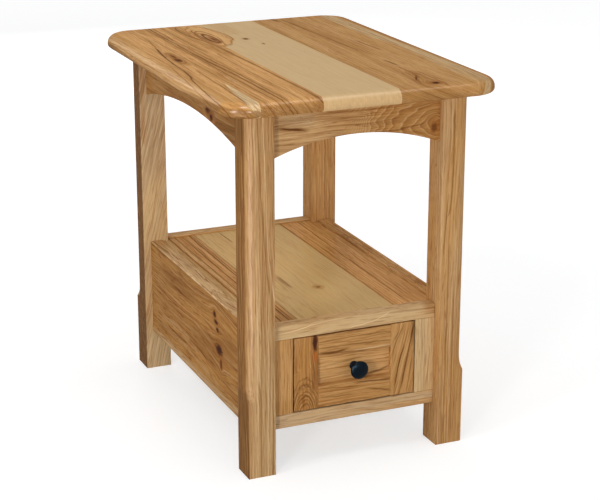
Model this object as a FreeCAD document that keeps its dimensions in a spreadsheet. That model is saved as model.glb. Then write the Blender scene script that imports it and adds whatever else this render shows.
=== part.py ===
"""A chairside table of solid hickory with a deep drawer under its shelf.

The table stands on the plane Z = 0. X is its width, Y its depth and Z its
height. The drawer faces -Y, and the origin is at the middle of the footprint.
"""
import FreeCAD, Part
import os
import re

# Driving sizes, in millimetres. Each one is a cell of the sheet.
SIZES = {
    # Whole table, and where its legs stand
    "table_height": 610,
    "top_width": 457,
    "top_depth": 622,
    "top_thick": 22.5,
    "top_corner": 50,
    "top_upper_round": 14.5,
    "top_lower_round": 6.5,
    "overhang_side": 41.5,
    "overhang_end": 36.5,
    "leg_size": 46,
    "leg_ease": 1.5,
    "leg_corner_round": 18,
    "leg_stop_height": 127,
    "leg_stop_ramp": 29,
    # How far the faces between the legs stand back from the legs
    "recess": 13,
    # Aprons under the top
    "apron_depth": 78,
    "apron_rise": 27,
    "apron_thick": 20,
    # Lower case: panels, rails and stiles round the drawer
    "case_bottom": 71,
    "case_height": 171.5,
    "panel_thick": 22,
    "rail_height": 23,
    "rail_thick": 22,
    "stile_width": 34.5,
    # Mortise and tenon joints
    "tenon_thick": 7,
    "tenon_length": 15,
    "tenon_shoulder": 4,
    "joint_clear": 0.1,
    "mortise_spare": 0.5,
    # Shelf and its cleats
    "shelf_thick": 19,
    "shelf_drop": 3,
    "cleat_size": 18,
    "cleat_screw_inset": 9,
    # Wooden buttons that hold the top
    "button_wide": 25,
    "button_long": 32,
    "button_thick": 16,
    "button_tongue": 6,
    "button_reach": 7,
    "button_gap": 0.5,
    "groove_depth": 8,
    "groove_clear": 0.2,
    # Drawer front
    "front_gap": 1.5,
    "front_thick": 20,
    "front_stile": 42,
    "front_rail": 38,
    "front_panel_thick": 8,
    "front_panel_inset": 6,
    "front_groove": 8,
    "front_panel_play": 0.5,
    # Drawer box
    "box_lift": 6,
    "box_height": 95,
    "box_thick": 12,
    "box_rabbet": 6,
    "box_beyond_slide": 20,
    "box_room_behind": 61,
    "bottom_thick": 6,
    "bottom_lift": 10,
    "bottom_groove": 6,
    # Ball-bearing slides
    "slide_tall": 45,
    "slide_thick": 12.7,
    "slide_gauge": 1.2,
    "slide_lip": 2,
    "slide_set_back": 3,
    "slide_web_gap": 0.8,
    "race_gap": 3.4,
    "ball_size": 3,
    "ball_pitch": 25,
    "ball_play": 0.1,
    "cage_gauge": 0.4,
    "cage_lip": 1,
    # Knob
    "knob_size": 31.5,
    "knob_reach": 30,
    "knob_head": 11,
    "knob_neck": 10,
    "knob_flare": 18,
    "knob_collar": 15,
    "knob_collar_thick": 3,
    # Screws and dowels
    "screw_head": 7,
    "screw_shank": 3.5,
    "screw_head_depth": 3,
    "screw_grip": 12,
    "front_screw_inset": 14,
    "slide_screw_head": 6.5,
    "slide_screw_grip": 9,
    "bore_clear": 0.05,
    "dowel_size": 8,
    "dowel_in_rail": 14,
    "dowel_in_stile": 24,
    # How far a cutting shape runs past the face that it opens
    "overrun": 5,
}

# Places worked out from the sizes. Names on the right are sizes or places.
PLACES = {
    "leg_top": "table_height - top_thick",
    "leg_out_x": "top_width / 2 - overhang_side",
    "leg_out_y": "top_depth / 2 - overhang_end",
    "leg_in_x": "leg_out_x - leg_size",
    "leg_in_y": "leg_out_y - leg_size",
    "face_x": "leg_out_x - recess",
    "face_y": "leg_out_y - recess",
    "stop_top": "leg_stop_height + leg_stop_ramp",
    "corner_bite": "leg_corner_round * (sqrt(2) - 1)",
    "swoop_radius": "(leg_stop_ramp ^ 2 + corner_bite ^ 2) / (2 * corner_bite)",
    "apron_bottom": "leg_top - apron_depth",
    "case_top": "case_bottom + case_height",
    "opening_bottom": "case_bottom + rail_height",
    "opening_top": "case_top - rail_height",
    "opening_half": "leg_in_x - stile_width",
    "panel_in_x": "face_x - panel_thick",
    "panel_in_y": "face_y - panel_thick",
    "rail_in_y": "face_y - rail_thick",
    "shelf_top": "case_top - shelf_drop",
    "shelf_bottom": "shelf_top - shelf_thick",
    "cleat_bottom": "shelf_bottom - cleat_size",
    "cleat_in_x": "panel_in_x - cleat_size",
    "button_bottom": "leg_top - button_thick",
    "tongue_top": "button_bottom + button_tongue",
    "front_half": "opening_half - front_gap",
    "front_bottom": "opening_bottom + front_gap",
    "front_top": "opening_top - front_gap",
    "front_middle": "(front_bottom + front_top) / 2",
    "front_back_y": "face_y - front_thick",
    "front_panel_y": "face_y - front_panel_inset",
    "front_panel_in_y": "front_panel_y - front_panel_thick",
    "box_half": "opening_half - slide_thick",
    "box_in": "box_half - box_thick",
    "box_bottom": "opening_bottom + box_lift",
    "box_top": "box_bottom + box_height",
    "box_middle": "box_bottom + box_height / 2",
    "box_back_y": "panel_in_y - box_room_behind",
    "slide_length": "box_back_y + front_back_y - box_beyond_slide",
    "bottom_low": "box_bottom + bottom_lift",
    "bottom_high": "bottom_low + bottom_thick",
    "slide_front": "rail_in_y - slide_set_back",
    "slide_back": "slide_length - slide_front",
    "outer_half_tall": "slide_tall / 2",
    "middle_half_tall": "outer_half_tall - slide_gauge - race_gap",
    "inner_half_tall": "middle_half_tall - slide_gauge - race_gap",
    "flange_tip": "opening_half - slide_thick + slide_lip",
    "middle_web": "opening_half - slide_gauge - slide_web_gap",
    "inner_tip": "middle_web - slide_gauge - slide_web_gap",
    "ball_x": "opening_half - slide_thick / 2",
    "cage_play": "(slide_web_gap - cage_gauge) / 2",
}

# Where the glued joints of the top and the shelf lie, as shares of the width
TOP_JOINT_SHARES = (0.113, 0.330, 0.609, 0.896)
SHELF_JOINT_SHARES = (0.207, 0.385, 0.760)
# Where the buttons of an apron sit, as shares of its half length
BUTTON_SHARES = (-0.57, 0.57)
# Where the tenons of a deep panel sit, as shares of its height
PANEL_TENON_SHARES = ((0.06, 0.42), (0.58, 0.94))
# Where the screws of a side cleat sit, as shares of its half length
CLEAT_SCREW_SHARES = (-0.45, 0.45)
# Where the screws of a slide sit, as shares of its length
SLIDE_SCREW_SHARES = (0.09, 0.5, 0.91)
# Heights of the drawer front's screws, as shares of the box's height
FRONT_SCREW_SHARES = (0.3, 0.8)
BALLS_IN_ROW = 6

# A flat edge's height varies less than this share of its length
FLAT_SHARE = 0.001

LEFT, RIGHT = -1, 1
FRONT, REAR = -1, 1
UP = (0, 0, 1)
FORWARD = (0, -1, 0)
SIDE_NAMES = {LEFT: "left", RIGHT: "right"}
END_NAMES = {FRONT: "front", REAR: "rear"}

document = FreeCAD.newDocument("hickory_table")
sheet = document.addObject("Spreadsheet::Sheet", "Sizes")
for row, (alias, number) in enumerate(SIZES.items(), start=1):
    sheet.set(f"A{row}", alias)
    sheet.set(f"B{row}", str(number))
    sheet.setAlias(f"B{row}", alias)
document.recompute()

nodes = []


# Expressions and placing

def cells(text):
    """Point every size in an expression at its cell, and write out places."""
    def point(match):
        word = match.group(0)
        if word in SIZES:
            return f"Sizes.{word}"
        if word in PLACES:
            return f"({cells(PLACES[word])})"
        return word
    return re.sub(r"[a-z_]+", point, text)


def bind(thing, **links):
    """Bind properties of an object to expressions."""
    for name, text in links.items():
        thing.setExpression(name.replace("__", "."), cells(text))


def place(thing, x="0", y="0", z="0"):
    """Bind the place of an object's own origin."""
    bind(thing, Placement__Base__x=x, Placement__Base__y=y, Placement__Base__z=z)


def across(side, inner, outer):
    """Span between two distances from a middle plane, on one side of it."""
    if side < 0:
        return f"-({outer})", f"-({inner})"
    return inner, outer


def both(half):
    """Span that reaches equally far to both sides of a middle plane."""
    return f"-({half})", half


def turned(along, run, through, height):
    """Spans of a piece that runs along X or Y and has its thickness across."""
    if along == "x":
        return {"x": run, "y": through, "z": height}
    return {"x": through, "y": run, "z": height}


def fill(box, x, y, z):
    """Bind a box to its spans along the three axes."""
    bind(
        box,
        Length=f"{x[1]} - ({x[0]})",
        Width=f"{y[1]} - ({y[0]})",
        Height=f"{z[1]} - ({z[0]})",
    )
    place(box, x[0], y[0], z[0])
    return box


# Shapes

def body(name):
    """An empty body."""
    return document.addObject("PartDesign::Body", name)


def add_box(owner, name, **spans):
    """Add a block of wood or metal to a body."""
    return fill(owner.newObject("PartDesign::AdditiveBox", name), **spans)


def cut_box(owner, name, **spans):
    """Cut a block out of a body."""
    return fill(owner.newObject("PartDesign::SubtractiveBox", name), **spans)


def box(name, **spans):
    """A loose block, used as a tool."""
    return fill(document.addObject("Part::Box", name), **spans)


def pointed(thing, direction):
    """Turn an object's own Z axis to a direction."""
    turn = FreeCAD.Rotation(FreeCAD.Vector(0, 0, 1), FreeCAD.Vector(*direction))
    thing.Placement = FreeCAD.Placement(FreeCAD.Vector(), turn)
    return thing


def rod(name, spot, direction, radius, length):
    """A loose cylinder that starts at a spot."""
    cylinder = pointed(document.addObject("Part::Cylinder", name), direction)
    bind(cylinder, Radius=radius, Height=length)
    place(cylinder, *spot)
    return cylinder


def cone(name, spot, direction, radii, length):
    """A loose cone that starts at a spot, given its two radii."""
    tip = pointed(document.addObject("Part::Cone", name), direction)
    bind(tip, Radius1=radii[0], Radius2=radii[1], Height=length)
    place(tip, *spot)
    return tip


def fuse(name, pieces):
    """Join shapes into one solid."""
    joined = document.addObject("Part::MultiFuse", name)
    joined.Shapes = pieces
    return joined


def group(name, pieces):
    """Hold separate solids together in one node."""
    bundle = document.addObject("Part::Compound", name)
    bundle.Links = pieces
    return bundle


def cut(name, base, tool):
    """Cut one shape out of another."""
    result = document.addObject("Part::Cut", name)
    result.Base = base
    result.Tool = tool
    return result


def common(name, base, tool):
    """Keep what two shapes share."""
    result = document.addObject("Part::Common", name)
    result.Base = base
    result.Tool = tool
    return result


def keep(thing, name):
    """List an object as a sub-part under its node name."""
    thing.Label = name
    nodes.append(thing)
    return thing


def drilled(name, piece, *bores):
    """Cut groups of bores out of a piece, and list the result."""
    for number, bore in enumerate(bores, start=1):
        piece = cut(f"{name}_drilled_{number}", piece, bore)
    return keep(piece, name)


def rounded(owner, name, radius, wanted):
    """Round the edges of a body's last feature that a test picks."""
    document.recompute()
    base = owner.Tip
    picked = [
        f"Edge{number}"
        for number, edge in enumerate(base.Shape.Edges, start=1)
        if wanted(edge)
    ]
    fillet = owner.newObject("PartDesign::Fillet", name)
    fillet.Base = (base, picked)
    bind(fillet, Radius=radius)
    document.recompute()
    return fillet


def is_upright(edge):
    """Whether an edge runs straight up."""
    reach = edge.BoundBox
    return reach.ZLength > reach.XLength + reach.YLength


def lies_at(edge, height):
    """Whether an edge lies flat at a height."""
    reach = edge.BoundBox
    slack = FLAT_SHARE * reach.DiagonalLength
    return reach.ZLength < slack and abs(reach.Center.z - height) < slack


def screws(name, spots, grip, head="screw_head", depth="screw_head_depth"):
    """A group of countersunk screws, and a group of the bores they sit in.

    A spot is the middle of a head's flat face, with the way that the screw
    points. The grip runs from there to the screw's tip.
    """
    def form(label, spot, way, spare):
        taper = cone(
            f"{label}_head", spot, way,
            (f"{head} / 2 + {spare}", f"screw_shank / 2 + {spare}"), depth,
        )
        shank = rod(
            f"{label}_shank", spot, way,
            f"screw_shank / 2 + {spare}", f"{grip} + {spare}",
        )
        return fuse(label, [taper, shank])

    solids = []
    bores = []
    for number, (spot, way) in enumerate(spots, start=1):
        solids.append(form(f"{name}_{number}", spot, way, "0"))
        bores.append(form(f"{name}_bore_{number}", spot, way, "bore_clear"))
    keep(group(name, solids), name)
    return group(f"{name}_bores", bores)


# Joints between the legs and what runs between them

def member_layout(along):
    """Outside face, inner face of the leg and leg axis for a member's run."""
    if along == "x":
        return "face_y", "leg_in_x"
    return "face_x", "leg_in_y"


def tenon_spans(low, high, shares):
    """Heights of a member's tenons, between shoulders or by shares."""
    if shares is None:
        return [(f"{low} + tenon_shoulder", f"{high} - tenon_shoulder")]
    tall = f"({high} - ({low}))"
    return [(f"{low} + {tall} * {a}", f"{low} + {tall} * {b}") for a, b in shares]


class Member:
    """A board that runs between two legs, with a tenon or two at each end."""

    def __init__(self, name, along, side, low, high, thick, shares=None):
        self.name = name
        self.along = along
        self.side = side
        self.low = low
        self.high = high
        self.thick = thick
        self.face, self.shoulder = member_layout(along)
        self.tenons = tenon_spans(low, high, shares)

    def tenon_through(self, spare):
        """Thickness span of a tenon, with some play on each cheek."""
        middle = f"{self.face} - {self.thick} / 2"
        half = f"tenon_thick / 2 + {spare}"
        return across(self.side, f"{middle} - ({half})", f"{middle} + {half}")

    def board(self):
        """Body of the member with its tenons."""
        owner = body(f"{self.name}_body")
        through = across(self.side, f"{self.face} - {self.thick}", self.face)
        height = (self.low, self.high)
        add_box(
            owner, f"{self.name}_board",
            **turned(self.along, both(self.shoulder), through, height),
        )
        for end in (-1, 1):
            run = across(end, self.shoulder, f"{self.shoulder} + tenon_length")
            for number, height in enumerate(self.tenons, start=1):
                add_box(
                    owner, f"{self.name}_tenon_{end + 1}_{number}",
                    **turned(self.along, run, self.tenon_through("0"), height),
                )
        return owner

    def mortise(self, owner, name, end):
        """Cut the mortises for one end of the member into a leg."""
        deep = f"{self.shoulder} + tenon_length + mortise_spare"
        run = across(end, f"{self.shoulder} - overrun", deep)
        for number, (low, high) in enumerate(self.tenons, start=1):
            height = (f"{low} - joint_clear", f"{high} + joint_clear")
            cut_box(
                owner, f"{name}_{self.name}_{number}",
                **turned(self.along, run, self.tenon_through("joint_clear"), height),
            )


aprons = {
    ("x", FRONT): Member("apron_front", "x", FRONT, "apron_bottom", "leg_top", "apron_thick"),
    ("x", REAR): Member("apron_rear", "x", REAR, "apron_bottom", "leg_top", "apron_thick"),
    ("y", LEFT): Member("apron_left", "y", LEFT, "apron_bottom", "leg_top", "apron_thick"),
    ("y", RIGHT): Member("apron_right", "y", RIGHT, "apron_bottom", "leg_top", "apron_thick"),
}
panels = {
    ("y", LEFT): Member(
        "side_panel_left", "y", LEFT, "case_bottom", "case_top", "panel_thick", PANEL_TENON_SHARES
    ),
    ("y", RIGHT): Member(
        "side_panel_right", "y", RIGHT, "case_bottom", "case_top", "panel_thick", PANEL_TENON_SHARES
    ),
    ("x", REAR): Member(
        "rear_panel", "x", REAR, "case_bottom", "case_top", "panel_thick", PANEL_TENON_SHARES
    ),
}
rail_top = Member("front_rail_top", "x", FRONT, "opening_top", "case_top", "rail_thick")
rail_bottom = Member(
    "front_rail_bottom", "x", FRONT, "case_bottom", "opening_bottom", "rail_thick"
)


def members_at(side_x, side_y):
    """Members that end in the leg at one corner, each with its end there."""
    met = [(aprons["x", side_y], side_x), (aprons["y", side_x], side_y)]
    met.append((panels["y", side_x], side_y))
    if side_y == FRONT:
        met += [(rail_top, side_x), (rail_bottom, side_x)]
    else:
        met.append((panels["x", REAR], side_x))
    return met


# Legs

def corner_cutter(name, side_x, side_y):
    """What the rounded outer corner loses, down to its swept stop."""
    spandrel_block = box(
        f"{name}_corner_block",
        x=across(side_x, "leg_out_x - leg_corner_round", "leg_out_x + overrun"),
        y=across(side_y, "leg_out_y - leg_corner_round", "leg_out_y + overrun"),
        z=("leg_stop_height", "leg_top + overrun"),
    )
    core = rod(
        f"{name}_corner_core",
        (
            f"{side_x} * (leg_out_x - leg_corner_round)",
            f"{side_y} * (leg_out_y - leg_corner_round)",
            "leg_stop_height - overrun",
        ),
        UP, "leg_corner_round", "leg_top - leg_stop_height + 3 * overrun",
    )
    spandrel = cut(f"{name}_spandrel", spandrel_block, core)
    away = "(swoop_radius - corner_bite) / sqrt(2)"
    swoop = rod(
        f"{name}_swoop",
        (
            f"{side_x} * (leg_out_x + {away}) + {side_y} * leg_size",
            f"{side_y} * (leg_out_y + {away}) - {side_x} * leg_size",
            "stop_top",
        ),
        (-side_y, side_x, 0), "swoop_radius", "2 * leg_size * sqrt(2)",
    )
    above = box(
        f"{name}_above_stop",
        x=across(side_x, "leg_in_x", "leg_out_x + leg_size"),
        y=across(side_y, "leg_in_y", "leg_out_y + leg_size"),
        z=("stop_top", "leg_top + 2 * overrun"),
    )
    return common(f"{name}_corner", spandrel, fuse(f"{name}_reach", [swoop, above]))


def build_leg(side_x, side_y):
    """A leg with its mortises, eased arrises and rounded outer corner."""
    name = f"leg_{END_NAMES[side_y]}_{SIDE_NAMES[side_x]}"
    owner = body(f"{name}_body")
    add_box(
        owner, f"{name}_blank",
        x=across(side_x, "leg_in_x", "leg_out_x"),
        y=across(side_y, "leg_in_y", "leg_out_y"),
        z=("0", "leg_top"),
    )

    document.recompute()
    axis = owner.Shape.CenterOfMass

    def is_eased(edge):
        out_x = (edge.CenterOfMass.x - axis.x) * side_x > 0
        out_y = (edge.CenterOfMass.y - axis.y) * side_y > 0
        return is_upright(edge) and not (out_x and out_y)

    rounded(owner, f"{name}_eased", "leg_ease", is_eased)
    for member, end in members_at(side_x, side_y):
        member.mortise(owner, name, end)
    keep(cut(f"{name}_shaped", owner, corner_cutter(name, side_x, side_y)), name)


# Top and its buttons

def button(name, along, side, share):
    """One wooden button, with its tongue in the apron's groove."""
    member = aprons[along, side]
    back = f"({member.face} - apron_thick)"
    middle = f"{member.shoulder} * {share}"
    run = (f"{middle} - button_wide / 2", f"{middle} + button_wide / 2")
    owner = body(name)
    block = across(side, f"{back} - button_gap - button_long", f"{back} - button_gap")
    add_box(owner, f"{name}_block", **turned(along, run, block, ("button_bottom", "leg_top")))
    tongue = across(side, f"{back} - button_gap", f"{back} + button_reach")
    add_box(owner, f"{name}_tongue", **turned(along, run, tongue, ("button_bottom", "tongue_top")))
    at = f"{side} * ({back} - button_gap - button_long / 2)"
    spot = (middle, at, "button_bottom") if along == "x" else (at, middle, "button_bottom")
    return owner, spot


def build_top_fixings():
    """Eight buttons and their screws. Returns the bores of the screws."""
    blocks = []
    spots = []
    for along, side in aprons:
        for number, share in enumerate(BUTTON_SHARES, start=1):
            block, spot = button(f"button_{along}_{side + 1}_{number}", along, side, share)
            blocks.append(block)
            spots.append((spot, UP))
    bores = screws("top_button_screws", spots, "button_thick + screw_grip")
    drilled("top_buttons", group("top_button_blocks", blocks), bores)
    return bores


def joint_places(width, shares):
    """Places of the glued joints across a panel that is centred on X = 0."""
    return [f"{width} * ({share} - 1 / 2)" for share in shares]


def boards(name, slab, width, shares, height):
    """Part a slab into its glued boards, from left to right."""
    joints = joint_places(width, shares)
    edges = [f"-{width} / 2 - overrun", *joints, f"{width} / 2 + overrun"]
    for number, span in enumerate(zip(edges, edges[1:]), start=1):
        strip = box(f"{name}_strip_{number}", x=span, y=both("top_depth"), z=height)
        keep(common(f"{name}_part_{number}", slab, strip), f"{name}_{number}")


def build_top(bores):
    """The top: one rounded slab of five boards, drilled for its buttons."""
    owner = body("top_body")
    add_box(
        owner, "top_blank",
        x=both("top_width / 2"), y=both("top_depth / 2"), z=("leg_top", "table_height"),
    )
    rounded(owner, "top_corners", "top_corner", is_upright)
    ceiling = owner.Shape.BoundBox.ZMax
    floor = owner.Shape.BoundBox.ZMin
    rounded(owner, "top_upper_edge", "top_upper_round", lambda edge: lies_at(edge, ceiling))
    rounded(owner, "top_lower_edge", "top_lower_round", lambda edge: lies_at(edge, floor))
    slab = cut("top_slab", owner, bores)
    boards("top_board", slab, "top_width", TOP_JOINT_SHARES,
           ("leg_top - overrun", "table_height + overrun"))


# Aprons

def build_apron(member):
    """An apron with an arched lower edge and a groove for the buttons."""
    owner = member.board()
    half = member.shoulder
    radius = f"(({half}) ^ 2 + apron_rise ^ 2) / (2 * apron_rise)"
    arch = owner.newObject("PartDesign::SubtractiveCylinder", f"{member.name}_arch")
    depth = f"({member.face})"
    reach = f"{member.side} * ({depth} - apron_thick / 2)"
    start = f"{reach} - leg_size / 2"
    centre = f"apron_bottom + apron_rise - {radius}"
    bind(arch, Radius=radius, Height="leg_size")
    if member.along == "x":
        pointed(arch, (0, 1, 0))
        place(arch, "0", start, centre)
    else:
        pointed(arch, (1, 0, 0))
        place(arch, start, "0", centre)
    back = f"({depth} - apron_thick)"
    cut_box(
        owner, f"{member.name}_groove",
        **turned(
            member.along, both(half),
            across(member.side, f"{back} - overrun", f"{back} + groove_depth"),
            ("button_bottom - groove_clear", "tongue_top + groove_clear"),
        ),
    )
    keep(owner, member.name)


# Lower case

def build_dowels():
    """Four dowels between the front stiles and rails. Returns their bores."""
    starts = ("opening_bottom - dowel_in_rail", "opening_top - dowel_in_stile")
    length = "dowel_in_rail + dowel_in_stile"
    at_y = "-(face_y - rail_thick / 2)"
    pins = []
    bores = []
    for side in (LEFT, RIGHT):
        at_x = f"{side} * (opening_half + stile_width / 2)"
        for number, start in enumerate(starts, start=1):
            label = f"dowel_{SIDE_NAMES[side]}_{number}"
            pins.append(rod(label, (at_x, at_y, start), UP, "dowel_size / 2", length))
            bores.append(rod(
                f"{label}_bore", (at_x, at_y, f"{start} - mortise_spare"), UP,
                "dowel_size / 2 + bore_clear", f"{length} + 2 * mortise_spare",
            ))
    keep(group("stile_dowels", pins), "stile_dowels")
    return group("stile_dowel_bores", bores)


def build_face_frame():
    """Rails over and under the drawer, and the stiles beside it."""
    bores = build_dowels()
    for rail in (rail_top, rail_bottom):
        drilled(rail.name, rail.board(), bores)
    for side in (LEFT, RIGHT):
        name = f"front_stile_{SIDE_NAMES[side]}"
        stile = box(
            f"{name}_blank",
            x=across(side, "opening_half", "leg_in_x"),
            y=across(FRONT, "rail_in_y", "face_y"),
            z=("opening_bottom", "opening_top"),
        )
        drilled(name, stile, bores)


def cleat_spots():
    """Where the shelf's screws start, under each cleat."""
    joints = joint_places("2 * panel_in_x", SHELF_JOINT_SHARES)
    edges = ["-panel_in_x", *joints, "panel_in_x"]
    spots = []
    for side in (FRONT, REAR):
        at = f"{side} * (panel_in_y - cleat_screw_inset)"
        for low, high in zip(edges, edges[1:]):
            spots.append(((f"({low} + {high}) / 2", at, "cleat_bottom"), UP))
    for side in (LEFT, RIGHT):
        for share in CLEAT_SCREW_SHARES:
            at = f"{side} * (panel_in_x - cleat_screw_inset)"
            spots.append(((at, f"leg_in_y * {share}", "cleat_bottom"), UP))
    return spots


def notched(owner, name, edge_x):
    """Cut the corners of a wide board away where the legs stand in it."""
    for side_x in (LEFT, RIGHT):
        for side_y in (FRONT, REAR):
            cut_box(
                owner, f"{name}_notch_{side_x + 1}_{side_y + 1}",
                x=across(side_x, "leg_in_x", f"{edge_x} + overrun"),
                y=across(side_y, "leg_in_y", "panel_in_y + overrun"),
                z=("0", "leg_top"),
            )


def build_shelf():
    """The shelf's four boards, its cleats and their screws."""
    bores = screws("shelf_screws", cleat_spots(), "cleat_size + screw_grip")
    height = ("cleat_bottom", "shelf_bottom")
    for side in (FRONT, REAR):
        name = f"shelf_cleat_{END_NAMES[side]}"
        strip = box(
            f"{name}_blank", x=both("cleat_in_x"),
            y=across(side, "panel_in_y - cleat_size", "panel_in_y"), z=height,
        )
        drilled(name, strip, bores)
    for side in (LEFT, RIGHT):
        name = f"shelf_cleat_{SIDE_NAMES[side]}"
        strip = box(
            f"{name}_blank", x=across(side, "cleat_in_x", "panel_in_x"),
            y=both("leg_in_y"), z=height,
        )
        drilled(name, strip, bores)
    owner = body("shelf_body")
    add_box(
        owner, "shelf_blank",
        x=both("panel_in_x"), y=both("panel_in_y"), z=("shelf_bottom", "shelf_top"),
    )
    notched(owner, "shelf", "panel_in_x")
    slab = cut("shelf_slab", owner, bores)
    boards("shelf_board", slab, "(2 * panel_in_x)", SHELF_JOINT_SHARES,
           ("shelf_bottom - overrun", "shelf_top + overrun"))


def build_slide_block(side, bores):
    """A block that brings a slide out to the edge of the opening."""
    name = f"slide_block_{SIDE_NAMES[side]}"
    owner = body(f"{name}_body")
    add_box(
        owner, f"{name}_blank",
        x=across(side, "opening_half", "panel_in_x"), y=both("panel_in_y"),
        z=("box_middle - outer_half_tall", "box_middle + outer_half_tall"),
    )
    for end in (FRONT, REAR):
        cut_box(
            owner, f"{name}_notch_{end + 1}",
            x=across(side, "leg_in_x", "panel_in_x + overrun"),
            y=across(end, "leg_in_y", "panel_in_y + overrun"),
            z=("0", "leg_top"),
        )
    drilled(name, owner, bores)


# Slides

def channel(name, side, web, tip, half_tall, gauge, run, web_is_outer=True):
    """A C-shaped strip: an upright web, and two flanges that end at a tip.

    The web's back and the tip are distances from the table's middle plane.
    """
    owner = body(f"{name}_body")
    inner, outer = (tip, web) if web_is_outer else (web, tip)
    height = (f"box_middle - {half_tall}", f"box_middle + {half_tall}")
    add_box(owner, f"{name}_strip", x=across(side, inner, outer), y=run, z=height)
    hollow = (f"box_middle - {half_tall} + {gauge}", f"box_middle + {half_tall} - {gauge}")
    if web_is_outer:
        inside = across(side, f"{inner} - overrun", f"{outer} - {gauge}")
    else:
        inside = across(side, f"{inner} + {gauge}", f"{outer} + overrun")
    cut_box(
        owner, f"{name}_hollow",
        x=inside, y=(f"{run[0]} - overrun", f"{run[1]} + overrun"), z=hollow,
    )
    return owner


def slide_screws(name, distance, turn):
    """Screws of both slides, pointed outward or inward. Returns their bores."""
    spots = [
        (
            (f"{side} * ({distance})", f"slide_length * {share} - slide_front", "box_middle"),
            (side * turn, 0, 0),
        )
        for side in (LEFT, RIGHT)
        for share in SLIDE_SCREW_SHARES
    ]
    return screws(name, spots, "slide_gauge + slide_screw_grip", "slide_screw_head", "slide_gauge")


def build_balls(name, height_from_middle):
    """Balls of one pair of races in both slides, and the bores of their cages."""
    balls = []
    bores = []
    first = f"slide_length / 2 - slide_front - ball_pitch * ({BALLS_IN_ROW} - 1) / 2"
    for side in (LEFT, RIGHT):
        at_x = f"{side} * ball_x"
        for number in range(BALLS_IN_ROW):
            at_y = f"{first} + {number} * ball_pitch"
            for turn in (-1, 1):
                ball = document.addObject("Part::Sphere", f"{name}_ball")
                bind(ball, Radius="ball_size / 2")
                place(ball, at_x, at_y, f"box_middle + {turn} * ({height_from_middle})")
                balls.append(ball)
            bores.append(rod(
                f"{name}_seat", (at_x, at_y, "box_middle - outer_half_tall"),
                UP, "ball_size / 2 + ball_play", "2 * outer_half_tall",
            ))
    keep(group(name, balls), name)
    return group(f"{name}_seats", bores)


def build_cages(name, outer_x, height_from_middle, seats):
    """Thin cages of one pair of races, in both slides."""
    strips = []
    half_length = f"ball_pitch * {BALLS_IN_ROW} / 2"
    middle = "slide_length / 2 - slide_front"
    run = (f"{middle} - {half_length}", f"{middle} + {half_length}")
    for side in (LEFT, RIGHT):
        strips.append(channel(
            f"{name}_{SIDE_NAMES[side]}", side, outer_x,
            "flange_tip + cage_lip", f"({height_from_middle} + cage_gauge / 2)",
            "cage_gauge", run,
        ))
    keep(cut(f"{name}_bored", group(f"{name}_strips", strips), seats), name)


def build_slides():
    """Both full-extension slides. Returns the bores in blocks and drawer."""
    run = ("-slide_front", "slide_back")
    case_bores = slide_screws("slide_case_screws", "opening_half - slide_gauge", 1)
    drawer_bores = slide_screws("slide_drawer_screws", "box_half + slide_gauge", -1)
    for side in (LEFT, RIGHT):
        hand = SIDE_NAMES[side]
        outer = channel(
            f"slide_outer_{hand}", side, "opening_half", "flange_tip",
            "outer_half_tall", "slide_gauge", run,
        )
        drilled(f"slide_outer_{hand}", outer, case_bores)
        middle = channel(
            f"slide_middle_{hand}", side, "middle_web", "flange_tip",
            "middle_half_tall", "slide_gauge", run,
        )
        keep(middle, f"slide_middle_{hand}")
        inner = channel(
            f"slide_inner_{hand}", side, "box_half", "inner_tip",
            "inner_half_tall", "slide_gauge", run, web_is_outer=False,
        )
        drilled(f"slide_inner_{hand}", inner, drawer_bores)
    outer_race = "outer_half_tall - slide_gauge - race_gap / 2"
    inner_race = "middle_half_tall - slide_gauge - race_gap / 2"
    outer_seats = build_balls("slide_balls_outer", outer_race)
    inner_seats = build_balls("slide_balls_inner", inner_race)
    build_cages(
        "slide_cages_outer", "(opening_half - slide_gauge - cage_play)", outer_race, outer_seats
    )
    build_cages(
        "slide_cages_inner", "(middle_web - slide_gauge - cage_play)", inner_race, inner_seats
    )
    return case_bores, drawer_bores


# Drawer

def build_drawer_sides(slide_bores):
    """Sides of the box, rabbeted for its ends and grooved for its bottom."""
    for side in (LEFT, RIGHT):
        name = f"drawer_side_{SIDE_NAMES[side]}"
        owner = body(f"{name}_body")
        add_box(
            owner, f"{name}_board",
            x=across(side, "box_in", "box_half"), y=("-front_back_y", "box_back_y"),
            z=("box_bottom", "box_top"),
        )
        inside = across(side, "box_in - overrun", "box_in + box_rabbet")
        for end, run in (
            ("front", ("-front_back_y - overrun", "-front_back_y + box_thick")),
            ("rear", ("box_back_y - box_thick", "box_back_y + overrun")),
        ):
            cut_box(
                owner, f"{name}_rabbet_{end}", x=inside, y=run,
                z=("box_bottom - overrun", "box_top + overrun"),
            )
        cut_box(
            owner, f"{name}_groove",
            x=across(side, "box_in - overrun", "box_in + bottom_groove"),
            y=("-front_back_y - overrun", "box_back_y + overrun"),
            z=("bottom_low - joint_clear", "bottom_high + joint_clear"),
        )
        drilled(name, owner, slide_bores)


def build_box_end(name, run, inside, bores):
    """Front or back of the box, grooved for its bottom."""
    owner = body(f"{name}_body")
    add_box(
        owner, f"{name}_board",
        x=both("box_in + box_rabbet"), y=run, z=("box_bottom", "box_top"),
    )
    cut_box(
        owner, f"{name}_groove",
        x=both("box_half"), y=inside,
        z=("bottom_low - joint_clear", "bottom_high + joint_clear"),
    )
    drilled(name, owner, *bores)


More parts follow.
